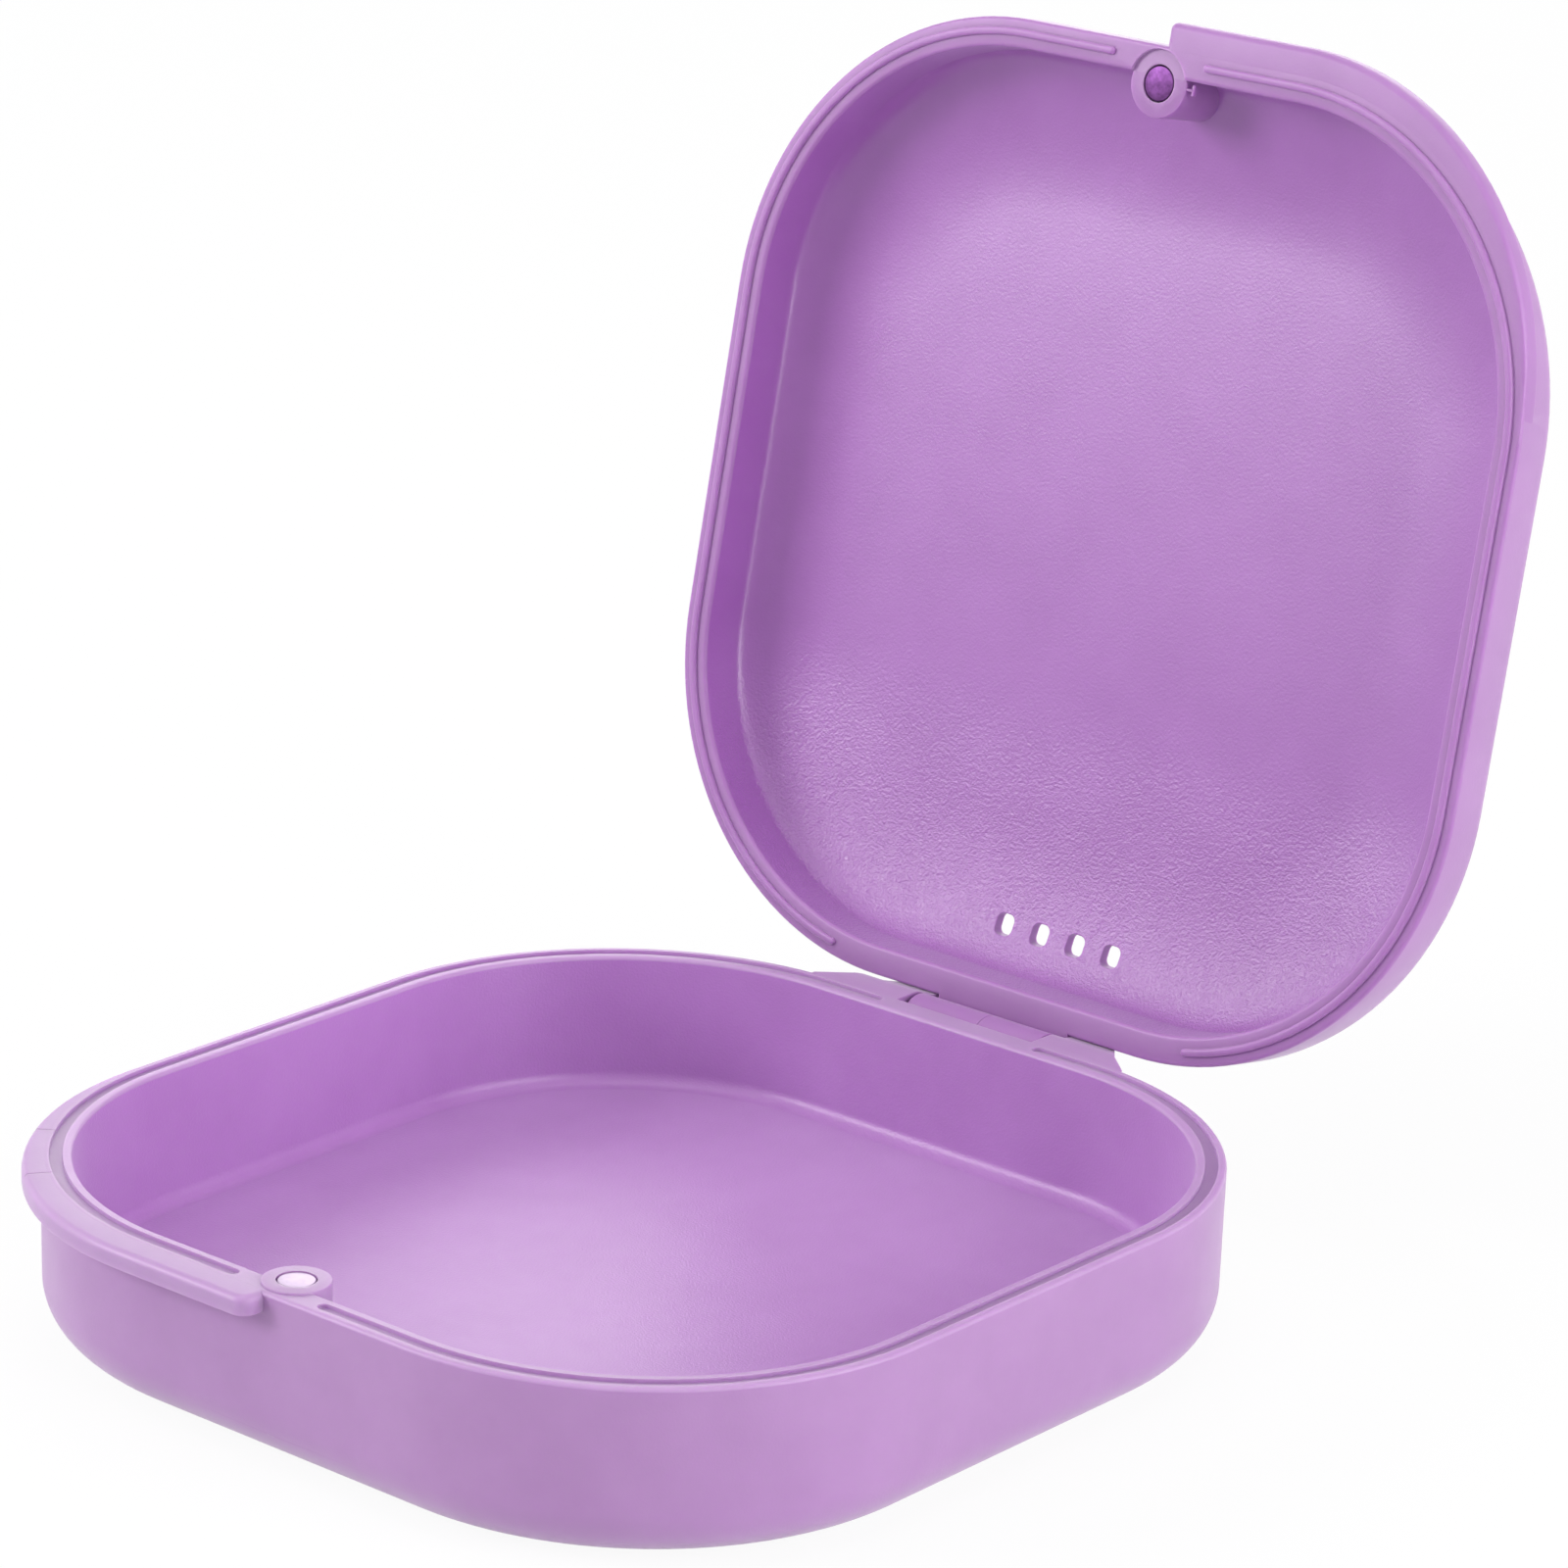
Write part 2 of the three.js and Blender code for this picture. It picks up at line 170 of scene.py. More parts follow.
def pull_edges(bm: BMesh, edges: list[BMEdge], shift: Place) -> list[BMEdge]:
    """Pull a chain of edges along a straight run.

    Args:
        bm: The mesh.
        edges: The chain.
        shift: How far it goes.

    Returns:
        The chain's far copy.
    """
    made = bmesh.ops.extrude_edge_only(bm, edges=edges)["geom"]
    move(bm, shift, parts_of(BMVert, made))
    return parts_of(BMEdge, made)


def pull_faces(bm: BMesh, parts: list, shift: Place) -> list[BMFace]:
    """Pull faces along a straight run.

    Args:
        bm: The mesh.
        parts: The faces, alone or as a region.
        shift: How far they go.

    Returns:
        The faces' far copy.
    """
    made = bmesh.ops.extrude_face_region(bm, geom=parts)["geom"]
    move(bm, shift, parts_of(BMVert, made))
    return parts_of(BMFace, made)


def block(bm: BMesh, size: Place | list[float], middle: Place) -> list[BMVert]:
    """Add a box to a mesh.

    Args:
        bm: The mesh.
        size: The box's sides.
        middle: Where its middle is.

    Returns:
        The box's vertices.
    """
    verts = bmesh.ops.create_cube(bm, size=1.0)["verts"]
    stretch(bm, size, verts)
    move(bm, middle, verts)
    return verts


def weld(bm: BMesh) -> None:
    """Merge doubled vertices and turn every face outwards."""
    bmesh.ops.remove_doubles(bm, verts=bm.verts[:], dist=WELD_MM)
    bmesh.ops.recalc_face_normals(bm, faces=bm.faces[:])


def drop_slivers(bm: BMesh) -> None:
    """Merge the hair-thin edges that a boolean leaves."""
    bmesh.ops.remove_doubles(bm, verts=bm.verts[:], dist=SLIVER_MM)
    bmesh.ops.dissolve_degenerate(bm, dist=SLIVER_MM, edges=bm.edges[:])


def close_holes(bm: BMesh) -> list[BMFace]:
    """Fill each open loop of a mesh with one face."""
    open_edges = [edge for edge in bm.edges if edge.is_boundary]
    return bmesh.ops.holes_fill(bm, edges=open_edges, sides=0)["faces"]


def sharp_edges(
    bm: BMesh, degrees: float = 40.0, where: Callable[[Vector], bool] | None = None
) -> list[BMEdge]:
    """Find the edges whose faces meet at more than an angle.

    Args:
        bm: The mesh.
        degrees: Smallest angle between the faces' normals.
        where: Test that the places of both ends have to pass.

    Returns:
        The edges.
    """
    limit = math.radians(degrees)
    return [
        edge
        for edge in bm.edges
        if len(edge.link_faces) == 2
        and edge.calc_face_angle() > limit
        and (where is None or all(where(vert.co) for vert in edge.verts))
    ]


def round_edges(bm: BMesh, edges: list[BMEdge], radius: float, segments: int = 3) -> None:
    """Round edges with a bevel.

    Args:
        bm: The mesh.
        edges: The edges to round.
        radius: Size of the rounding.
        segments: Number of faces across the rounding.
    """
    bmesh.ops.bevel(
        bm,
        geom=edges,
        offset=radius,
        offset_type="OFFSET",
        segments=segments,
        profile=0.5,
        affect="EDGES",
        clamp_overlap=True,
        material=-1,
    )


def arc(
    bm: BMesh, centre: Pair, radii: Pair, start: float, sweep: float, steps: int
) -> list[BMVert]:
    """Spin a vertex into part of an ellipse in the plane across the hinge.

    Args:
        bm: The mesh.
        centre: Y and Z of the ellipse's middle.
        radii: Half sizes along Y and Z.
        start: Angle in degrees where the arc starts, from +Y towards +Z.
        sweep: Angle in degrees that it covers.
        steps: Number of edges.

    Returns:
        The arc's vertices in order.
    """
    angle = math.radians(start)
    chain = [bm.verts.new((0, math.cos(angle), math.sin(angle)))]
    known = set(bm.verts)
    spin(bm, chain[:], ORIGIN, ALONG_HINGE, math.radians(sweep), steps)
    added = [vert for vert in bm.verts if vert not in known]
    while added:
        ends = (vert for edge in chain[-1].link_edges for vert in edge.verts)
        following = next(vert for vert in ends if vert in added)
        added.remove(following)
        chain.append(following)
    stretch(bm, (1, *radii), chain)
    move(bm, (0, *centre), chain)
    return chain


def cylinder(
    radius: float, centre: Vector, length: float, axis: str, sides: int, edge: float = 0.0
) -> BMesh:
    """Make a closed cylinder, with rounded rims if asked.

    Args:
        radius: Its radius.
        centre: Middle of its axis.
        length: Length along its axis.
        axis: "X" or "Z".
        sides: Number of sides.
        edge: Rounding of both rims.

    Returns:
        The bmesh.
    """
    bm = bmesh.new()
    bmesh.ops.create_cone(
        bm, cap_ends=True, segments=sides, radius1=radius, radius2=radius, depth=length
    )
    if edge:
        round_edges(bm, sharp_edges(bm), edge)
    if axis == "X":
        rotate(bm, 90, "Y")
    move(bm, centre)
    return bm


def rod(
    radius: float, left: float, right: float, axis: Vector, sides: int, edge: float = 0.0
) -> BMesh:
    """Make a cylinder along the hinge.

    Args:
        radius: Its radius.
        left: Where it starts.
        right: Where it ends.
        axis: Point of its axis that left and right count from.
        sides: Number of sides.
        edge: Rounding of both rims.

    Returns:
        The bmesh.
    """
    centre = axis + Vector(((left + right) / 2, 0, 0))
    return cylinder(radius, centre, right - left, "X", sides, edge)


def mesh_object(name: str, bm: BMesh, skin: Skin = Skin.SATIN, keep_skins: bool = False) -> Object:
    """Turn a finished bmesh into a linked object and free the bmesh.

    Args:
        name: Name of the object and its mesh.
        bm: The mesh.
        skin: Surface that all its faces belong to.
        keep_skins: Whether the faces have their surfaces already.

    Returns:
        The object, at the origin, with an empty material slot for each skin.
    """
    mesh = bpy.data.meshes.new(name)
    for _ in Skin:
        mesh.materials.append(None)
    for face in () if keep_skins else bm.faces:
        face.material_index = skin.value
    bm.to_mesh(mesh)
    bm.free()
    made = bpy.data.objects.new(name, mesh)
    bpy.context.scene.collection.objects.link(made)
    return made


def reshape(body: Object, change: Callable[[BMesh], None]) -> Object:
    """Run bmesh operators on an object's own mesh.

    Args:
        body: The object.
        change: What to do with its bmesh.

    Returns:
        The same object.
    """
    bm = bmesh.new()
    bm.from_mesh(body.data)
    change(bm)
    bm.to_mesh(body.data)
    bm.free()
    return body


def combine(body: Object, joining: Joining, *tools: Object) -> Object:
    """Put solids together in one exact boolean and drop all but the first.

    Args:
        body: The solid that stays.
        joining: Whether the tools are added, cut away or intersected.
        *tools: The other solids.

    Returns:
        The body, with its new mesh.
    """
    shelf = bpy.data.collections.new("tools")
    for tool in tools:
        shelf.objects.link(tool)
    modifier = body.modifiers.new("combine", "BOOLEAN")
    modifier.operation = joining.value
    modifier.operand_type = "COLLECTION"
    modifier.collection = shelf
    modifier.solver = "EXACT"
    bpy.context.view_layer.update()
    graph = bpy.context.evaluated_depsgraph_get()
    mesh = bpy.data.meshes.new_from_object(body.evaluated_get(graph))
    body.modifiers.clear()
    old, body.data = body.data, mesh
    mesh.name = body.name
    bpy.data.meshes.remove(old)
    bpy.data.collections.remove(shelf)
    for mesh_of_tool in [tool.data for tool in tools]:
        bpy.data.meshes.remove(mesh_of_tool)
    return reshape(body, drop_slivers)


def prism(points: list[Pair], left: float, right: float, name: str, skin: Skin) -> Object:
    """Make a solid from a side view across the hinge.

    Args:
        points: Corners as pairs of back and up from the hinge axis.
        left: Where it starts along the axis.
        right: Where it ends.
        name: Name of the object.
        skin: Surface that its faces belong to.

    Returns:
        The solid.
    """
    bm = bmesh.new()
    side = bm.faces.new([bm.verts.new((left, back, up)) for back, up in points])
    pull_faces(bm, [side], (right - left, 0, 0))
    weld(bm)
    return mesh_object(name, bm, skin)


@dataclass(frozen=True)
class Outline:
    """Square with round corners that the rim follows."""

    half_width: float = 40.0
    half_depth: float = 40.5
    corner_radius: float = 26.3
    corner_steps: int = 32

    @property
    def front_run(self) -> float:
        """Half the straight length of the front."""
        return self.half_width - self.corner_radius

    @property
    def side_run(self) -> float:
        """Half the straight length of a side."""
        return self.half_depth - self.corner_radius

    def corner_centre(self, right: int, back: int) -> Vector:
        """Middle of a corner, right and back being +1 or -1."""
        return Vector((right * self.front_run, back * self.side_run, 0))

    def corner(
        self, bm: BMesh, edges: list[BMEdge], right: int, back: int, steps: int, share: float = 1.0
    ) -> list[BMEdge]:
        """Spin a chain of edges round one of the corners.

        Args:
            bm: The mesh.
            edges: The chain, standing at the corner's start on the walk round from front to right.
            right: +1 for a right corner, -1 for a left one.
            back: +1 for a back corner, -1 for a front one.
            steps: Number of steps in the turn.
            share: How much of the quarter turn to go.

        Returns:
            The chain's far copy.
        """
        chain = [*dict.fromkeys(vert for edge in edges for vert in edge.verts), *edges]
        centre = self.corner_centre(right, back)
        made = spin(bm, chain, centre, UPWARD, share * math.pi / 2, steps)
        return parts_of(BMEdge, made)

    def all_round(self, bm: BMesh) -> None:
        """Pull a section once round, from the right end of the front run.

        Args:
            bm: The mesh, which holds the section alone, at X zero.
        """
        move(bm, (self.front_run, 0, 0))
        edges = bm.edges[:]
        for right, back, shift in (
            (1, -1, (0, 2 * self.side_run, 0)),
            (1, 1, (-2 * self.front_run, 0, 0)),
            (-1, 1, (0, -2 * self.side_run, 0)),
            (-1, -1, (2 * self.front_run, 0, 0)),
        ):
            edges = self.corner(bm, edges, right, back, self.corner_steps)
            edges = pull_edges(bm, edges, shift)
        weld(bm)

    def outward(self, point: Vector) -> tuple[float, float, Vector]:
        """Say where a point of the right front quarter lies against the outline.

        Args:
            point: The point.

        Returns:
            Its length along the outline from the middle of the front, its distance outside the
            outline, and the outline's outward direction there.
        """
        arm = Vector((point.x, point.y, 0)) - self.corner_centre(1, -1)
        if arm.x <= 0:
            return point.x, -point.y - self.half_depth, Vector((0, -1, 0))
        if arm.y >= 0:
            run = self.front_run + self.corner_radius * math.pi / 2 + arm.y
            return run, point.x - self.half_width, Vector((1, 0, 0))
        run = self.front_run + self.corner_radius * math.atan2(arm.x, -arm.y)
        return run, arm.length - self.corner_radius, arm.normalized()


@dataclass(frozen=True)
class Wall:
    """One surface of a moulded half, from its rim to its flat middle."""

    inset: float
    draft_share: float
    depth: float
    rise: float
    reach: float

    @property
    def straight(self) -> float:
        """Height of the straight part below the rim."""
        return self.depth - self.rise

    @property
    def lean(self) -> float:
        """Inset where the straight part ends."""
        return self.inset + self.draft_share * self.straight


@dataclass(frozen=True)
class Shell:
    """A moulded half, rim upwards: outer wall, rounded rim, inner wall and flat middles."""

    outline: Outline
    outer: Wall
    inner: Wall
    rim_width: float
    rim_edge: float = 0.3
    wall_steps: int = 18
    edge_steps: int = 4
    middle_margin: float = 1.5
    floor_slack: float = 0.01
    least_rise: float = 0.02
    least_lean: float = 0.01

    def _quarter(self, bm: BMesh, wall: Wall) -> list[BMVert]:
        """Make the curve of a wall from its straight part to its flat middle.

        Args:
            bm: The mesh.
            wall: The wall.

        Returns:
            The curve's vertices in order.
        """
        centre = (-(self.outline.half_depth - wall.lean - wall.reach), -wall.straight)
        return arc(bm, centre, (wall.reach, wall.rise), 180, 90, self.wall_steps)

    def _edge(self, bm: BMesh, inset: float, start: float) -> list[BMVert]:
        """Make the rounded edge of the rim, outer or inner.

        Args:
            bm: The mesh.
            inset: How far in the middle of the rounding is.
            start: Angle in degrees where it starts.

        Returns:
            The rounding's vertices in order.
        """
        edge = self.rim_edge
        centre = (-(self.outline.half_depth - inset), -edge)
        return arc(bm, centre, (edge, edge), start, -90, self.edge_steps)

    def build(self, name: str) -> Object:
        """Sweep the wall's section round the outline and close both middles.

        Args:
            name: Name of the object.

        Returns:
            The shell, with its rim at height zero and its depth below it.
        """
        bm = bmesh.new()
        foot = self._quarter(bm, self.outer)[::-1]
        outer_edge = self._edge(bm, self.rim_edge, 180)
        inner_edge = self._edge(bm, self.rim_width - self.rim_edge, 90)
        floor = self._quarter(bm, self.inner)
        for end, start in ((foot, outer_edge), (outer_edge, inner_edge), (inner_edge, floor)):
            bm.edges.new((end[-1], start[0]))
        self.outline.all_round(bm)
        middles = close_holes(bm)
        bmesh.ops.inset_individual(bm, faces=middles, thickness=self.middle_margin)
        bmesh.ops.recalc_face_normals(bm, faces=bm.faces[:])
        for face in bm.faces:
            face.material_index = self._skin(face).value
        return mesh_object(name, bm, keep_skins=True)

    def core(self, name: str) -> Object:
        """Make the outer form as one solid, filled up to the rim.

        Args:
            name: Name of the object.

        Returns:
            The solid, placed as the shell is.
        """
        bm = bmesh.new()
        foot = self._quarter(bm, self.outer)[::-1]
        rim = bm.verts.new((0, self.outer.inset - self.outline.half_depth, 0))
        bm.edges.new((foot[-1], rim))
        self.outline.all_round(bm)
        close_holes(bm)
        bmesh.ops.recalc_face_normals(bm, faces=bm.faces[:])
        return mesh_object(name, bm)

    def _skin(self, face: BMFace) -> Skin:
        """Tell the surface of a face: thin at the rim, grained inside it, satin elsewhere.

        Args:
            face: The face.

        Returns:
            Its surface.
        """
        middle, normal = face.calc_center_median(), face.normal
        if middle.z > -self.rim_edge - NEAR_MM:
            return Skin.THIN
        above_floor = middle.z > -self.inner.depth - self.floor_slack
        leans_in = middle.x * normal.x + middle.y * normal.y < -self.least_lean
        inside = leans_in or (above_floor and normal.z > self.least_rise)
        return Skin.GRAINED if inside else Skin.SATIN


@dataclass(frozen=True)
class RimBand:
    """Band along the rim between the catch and the hinge, on both sides, with round ends."""

    outline: Outline
    inset: float
    width: float
    catch_end: float
    hinge_end: float
    bottom: float
    top: float
    tip_round: float = 0.0
    end_steps: int = 8
    turn_steps: int = 29
    same: float = 0.0001
    merge: float = 1e-6

    def build(self, name: str) -> Object:
        """Spin, pull and extrude half an end disc into both bands.

        Args:
            name: Name of the object.

        Returns:
            One object with the right band and the left one.
        """
        bm = bmesh.new()
        outline = self.outline
        front = self.inset - outline.half_depth
        middle = bm.verts.new((self.catch_end, front, 0))
        outer = bm.verts.new((self.catch_end, front - self.width / 2, 0))
        self._half_disc(bm, middle, outer, -math.pi)
        chain = [
            edge
            for edge in bm.edges
            if all(abs(vert.co.x - self.catch_end) < self.same for vert in edge.verts)
        ]
        chain = pull_edges(bm, chain, (outline.front_run - self.catch_end, 0, 0))
        chain = outline.corner(bm, chain, 1, -1, self.turn_steps)
        chain = pull_edges(bm, chain, (0, 2 * outline.side_run, 0))
        short = max(0.0, self.hinge_end - outline.front_run)
        share = 1.0 - short / (outline.corner_radius * math.pi / 2)
        chain = outline.corner(bm, chain, 1, 1, self.turn_steps, share)
        if not short:
            chain = pull_edges(bm, chain, (self.hinge_end - outline.front_run, 0, 0))
        ends = {vert for edge in chain for vert in edge.verts}
        _, middle, outer = sorted(ends, key=lambda vert: vert.co.length)
        self._half_disc(bm, middle, outer, math.pi)
        pull_faces(bm, bm.faces[:], (0, 0, self.top - self.bottom))
        move(bm, (0, 0, self.bottom))
        weld(bm)
        if self.tip_round:
            tips = sharp_edges(bm, where=lambda place: place.z < self.bottom + NEAR_MM)
            round_edges(bm, tips, self.tip_round)
        everything = bm.verts[:] + bm.edges[:] + bm.faces[:]
        bmesh.ops.mirror(
            bm, geom=everything, matrix=Matrix.Identity(4), merge_dist=self.merge, axis="X"
        )
        bmesh.ops.recalc_face_normals(bm, faces=bm.faces[:])
        return mesh_object(name, bm, Skin.THIN)

    def _half_disc(self, bm: BMesh, middle: BMVert, rim: BMVert, angle: float) -> None:
        """Spin the edge from a band's middle line to its side into a half disc.

        Args:
            bm: The mesh.
            middle: Vertex on the middle line.
            rim: Vertex on the side.
            angle: The turn in radians.
        """
        edge = bm.edges.get((middle, rim)) or bm.edges.new((middle, rim))
        spin(bm, [middle, rim, edge], middle.co, UPWARD, angle, self.end_steps)
        weld(bm)


@dataclass(frozen=True)
class FingerLip:
    """Lip that a thumb opens the case by, left of the catch, rim upwards."""

    outline: Outline
    start_corner: float
    reach: float = 2.0
    thickness: float = 1.6
    rim_round: float = 0.6
    under_round: float = 0.15
    catch_end: float = 0.35
    root: float = 0.28
    settle: float = 0.27
    same: float = 0.0001

    def build(self, name: str) -> Object:
        """Pull the lip's section along the front and the corner, where it settles into the wall.

        Args:
            name: Name of the object.

        Returns:
            The lip, with its rim side at height zero.
        """
        bm = bmesh.new()
        bmesh.ops.create_grid(bm, x_segments=1, y_segments=1, size=0.5)
        stretch(bm, (self.thickness, self.reach + self.root, 1))
        rotate(bm, 90, "Y")
        middle = -(self.outline.half_depth + (self.reach - self.root) / 2)
        move(bm, (self.catch_end, middle, -self.thickness / 2))
        run = self.outline.front_run - self.catch_end
        section = pull_faces(bm, region(bm.faces[:]), (run, 0, 0))
        centre = self.outline.corner_centre(1, -1)
        spin(bm, region(section), centre, UPWARD, math.pi / 2, self.outline.corner_steps)
        weld(bm)
        self._round(bm)
        self._settle(bm)
        stretch(bm, (-1, 1, 1))
        weld(bm)
        return mesh_object(name, bm, Skin.THIN)

    def _round(self, bm: BMesh) -> None:
        """Round the corner beside the catch, then the rim side and the underside.

        Args:
            bm: The lip, on the right.
        """
        start = [
            edge
            for edge in bm.edges
            if all(abs(vert.co.x - self.catch_end) < self.same for vert in edge.verts)
            and all(vert.co.y < -self.outline.half_depth for vert in edge.verts)
        ]
        round_edges(bm, start, self.start_corner, 8)
        round_edges(bm, self._proud(bm, 0.0), self.rim_round, 5)
        round_edges(bm, self._proud(bm, -self.thickness), self.under_round, 2)

    def _proud(self, bm: BMesh, height: float) -> list[BMEdge]:
        """Find the sharp edges at one height that stand clear of the lip's root.

        Args:
            bm: The lip, on the right.
            height: The height.

        Returns:
            The edges.
        """
        clear = 10 * NEAR_MM - self.root
        level = sharp_edges(bm, where=lambda place: abs(place.z - height) < NEAR_MM)
        return [
            edge
            for edge in level
            if any(self.outline.outward(vert.co)[1] > clear for vert in edge.verts)
        ]

    def _settle(self, bm: BMesh) -> None:
        """Narrow the lip round the corner, as the outline moved forwards would leave it.

        Args:
            bm: The lip, on the right.
        """
        for vert in bm.verts:
            run, out, normal = self.outline.outward(vert.co)
            turned = max(0.0, run - self.outline.front_run) / self.outline.corner_radius
            if turned and out > NEAR_MM - self.root:
                vert.co += normal * (out + self.settle) * (math.cos(turned) - 1.0)


class NodeTree:
    """Short words for building the nodes of a material or of the world."""

    def __init__(self, owner: Material | World, shader: str = "Principled BSDF") -> None:
        """Turn the owner's nodes on.

        Args:
            owner: The material or the world.
            shader: Name of the shader that it starts with.
        """
        owner.use_nodes = True
        self.nodes, self.links = owner.node_tree.nodes, owner.node_tree.links
        self.shader = self.nodes[shader]

    @cached_property
    def place(self) -> NodeSocket:
        """Object coordinates."""
        return self.node("TexCoord").outputs["Object"]

    def feed(self, node: Node, inputs: dict[str | int, object]) -> None:
        """Link a node's inputs to sockets, or set them to values.

        Args:
            node: The node.
            inputs: Sockets and values by input.
        """
        for name, value in inputs.items():
            if isinstance(value, NodeSocket):
                self.links.new(value, node.inputs[name])
            else:
                node.inputs[name].default_value = value

    def node(
        self, kind: str, inputs: dict[str | int, object] | None = None, **settings: object
    ) -> Node:
        """Add a node.

        Args:
            kind: The node's type, without its first word.
            inputs: Sockets and values by input.
            **settings: Properties by name.

        Returns:
            The node.
        """
        made = self.nodes.new("ShaderNode" + kind)
        for name, value in settings.items():
            setattr(made, name, value)
        self.feed(made, inputs or {})
        return made

    def noise(self, size_mm: float, detail: float = 2.0, roughness: float = 0.5) -> NodeSocket:
        """Add a noise on Object coordinates.

        Args:
            size_mm: Rough size of its lumps.
            detail: How many finer layers it has.
            roughness: How strong these are.

        Returns:
            The noise.
        """
        scale = 1.0 / (size_mm * METRES_PER_MM)
        inputs = {"Vector": self.place, "Scale": scale, "Detail": detail, "Roughness": roughness}
        return self.node("TexNoise", inputs).outputs["Fac"]

    def blend(self, source: NodeSocket, low: Colour, high: Colour) -> NodeSocket:
        """Blend between two colours over the middle of a noise's range.

        Args:
            source: The noise.
            low: Colour below that middle.
            high: Colour above it.

        Returns:
            The colour.
        """
        made = self.node("ValToRGB", {"Fac": source})
        stops = zip(made.color_ramp.elements, BLEND_STOPS, (low, high), strict=True)
        for stop, position, colour in stops:
            stop.position, stop.color = position, colour
        return made.outputs["Color"]

    def span(self, source: NodeSocket, low: float, high: float) -> NodeSocket:
        """Map a value from 0..1 to a range."""
        inputs = {"Value": source, "To Min": low, "To Max": high}
        return self.node("MapRange", inputs).outputs["Result"]

    def bump(
        self,
        height: NodeSocket,
        depth_mm: float,
        strength: float = 1.0,
        under: NodeSocket | None = None,
    ) -> NodeSocket:
        """Add a bump.

        Args:
            height: Its height.
            depth_mm: How deep it is.
            strength: How strongly it shows.
            under: Normal that it lies on, if any.

        Returns:
            The normal.
        """
        distance = depth_mm * METRES_PER_MM
        inputs = {"Distance": distance, "Strength": strength, "Height": height}
        if under is not None:
            inputs["Normal"] = under
        return self.node("Bump", inputs).outputs["Normal"]

    def seen(self, unseen: float, shown: float) -> NodeSocket:
        """Give one value where the camera, gloss or glass looks and another to other rays.

        Args:
            unseen: Value for other rays.
            shown: Value where it is looked at.

        Returns:
            The value.
        """
        path = self.node("LightPath").outputs
        ray = path["Is Camera Ray"]
        for other in ("Is Glossy Ray", "Is Transmission Ray"):
            ray = self.node("Math", {0: ray, 1: path[other]}, operation="MAXIMUM").outputs["Value"]
        return self.span(ray, unseen, shown)


def rgba(red: int, green: int, blue: int) -> Colour:
    """Turn the 0 to 255 screen values of a colour into a linear colour.

    Args:
        red: Its red.
        green: Its green.
        blue: Its blue.

    Returns:
        The colour, opaque.
    """

    def linear(value: int) -> float:
        """Turn one channel into its linear value."""
        share = value / 255
        return share / 12.92 if share <= 0.04045 else ((share + 0.055) / 1.055) ** 2.4

    return linear(red), linear(green), linear(blue), 1.0


@dataclass(frozen=True)
class LilacPlastic:
    """Slightly translucent lilac plastic, satin outside or finely grained inside."""

    name: str
    light: Colour = rgba(168, 127, 179)
    deep: Colour = rgba(162, 121, 173)
    roughness: Pair = (0.36, 0.46)
    specular: float = 0.4
    sheen: float = 0.25
    grain_mm: float = 0.22
    grain_depth_mm: float = 0.01
    ripple_mm: float = 6.0
    ripple_depth_mm: float = 0.01
    edge_mm: float = 0.16
    through: float = 0.35
    through_mm: float = 1.2
    pebble_depth_mm: float = 0.0
    pebble_mm: float = 0.26
    pebble_band: Pair = (24.0, 40.0)
    pebble_rest: float = 0.04

    def make(self) -> Material:
        """Build the material.

        Returns:
            The material.
        """
        material = bpy.data.materials.new(self.name)
        tree = NodeTree(material)
        radius = {"Radius": self.edge_mm * METRES_PER_MM}
        edge = tree.node("Bevel", radius, samples=6).outputs["Normal"]
        ripple = tree.bump(tree.noise(self.ripple_mm, 1.0), self.ripple_depth_mm, 0.5, edge)
        grain = tree.noise(self.grain_mm, 2.0, 0.6)
        normal = tree.bump(grain, self.grain_depth_mm, 1.0, ripple)
        if self.pebble_depth_mm:
            normal = tree.bump(self._pebbles(tree), self.pebble_depth_mm, 1.0, normal)
        inputs = {
            "Base Color": tree.blend(tree.noise(7.0, 3.0, 0.55), self.deep, self.light),
            "Roughness": tree.span(tree.noise(3.0, 4.0), *self.roughness),
            "Subsurface Weight": self.through,
            "Subsurface Radius": (1.0, 0.55, 1.1),
            "Subsurface Scale": self.through_mm * METRES_PER_MM,
            "IOR": 1.49,
            "Specular IOR Level": self.specular,
            "Sheen Weight": self.sheen,
            "Sheen Roughness": 0.5,
            "Normal": normal,
        }
        tree.feed(tree.shader, inputs)
        return material

    def _pebbles(self, tree: NodeTree) -> NodeSocket:
        """Make the height of the coarser grain that fades out with height above the hinge.

        Args:
            tree: The material's nodes.

        Returns:
            The height.
        """
        start, end = (edge * METRES_PER_MM for edge in self.pebble_band)
        inputs = {
            "Value": tree.node("SeparateXYZ", {"Vector": tree.place}).outputs["Z"],
            "From Min": start,
            "From Max": end,
            "To Min": 1.0,
            "To Max": self.pebble_rest,
        }
        fade = tree.node("MapRange", inputs, interpolation_type="SMOOTHSTEP").outputs["Result"]
        pebbles = tree.noise(self.pebble_mm, 2.0, 0.65)
        return tree.node("Math", {0: pebbles, 1: fade}, operation="MULTIPLY").outputs["Value"]


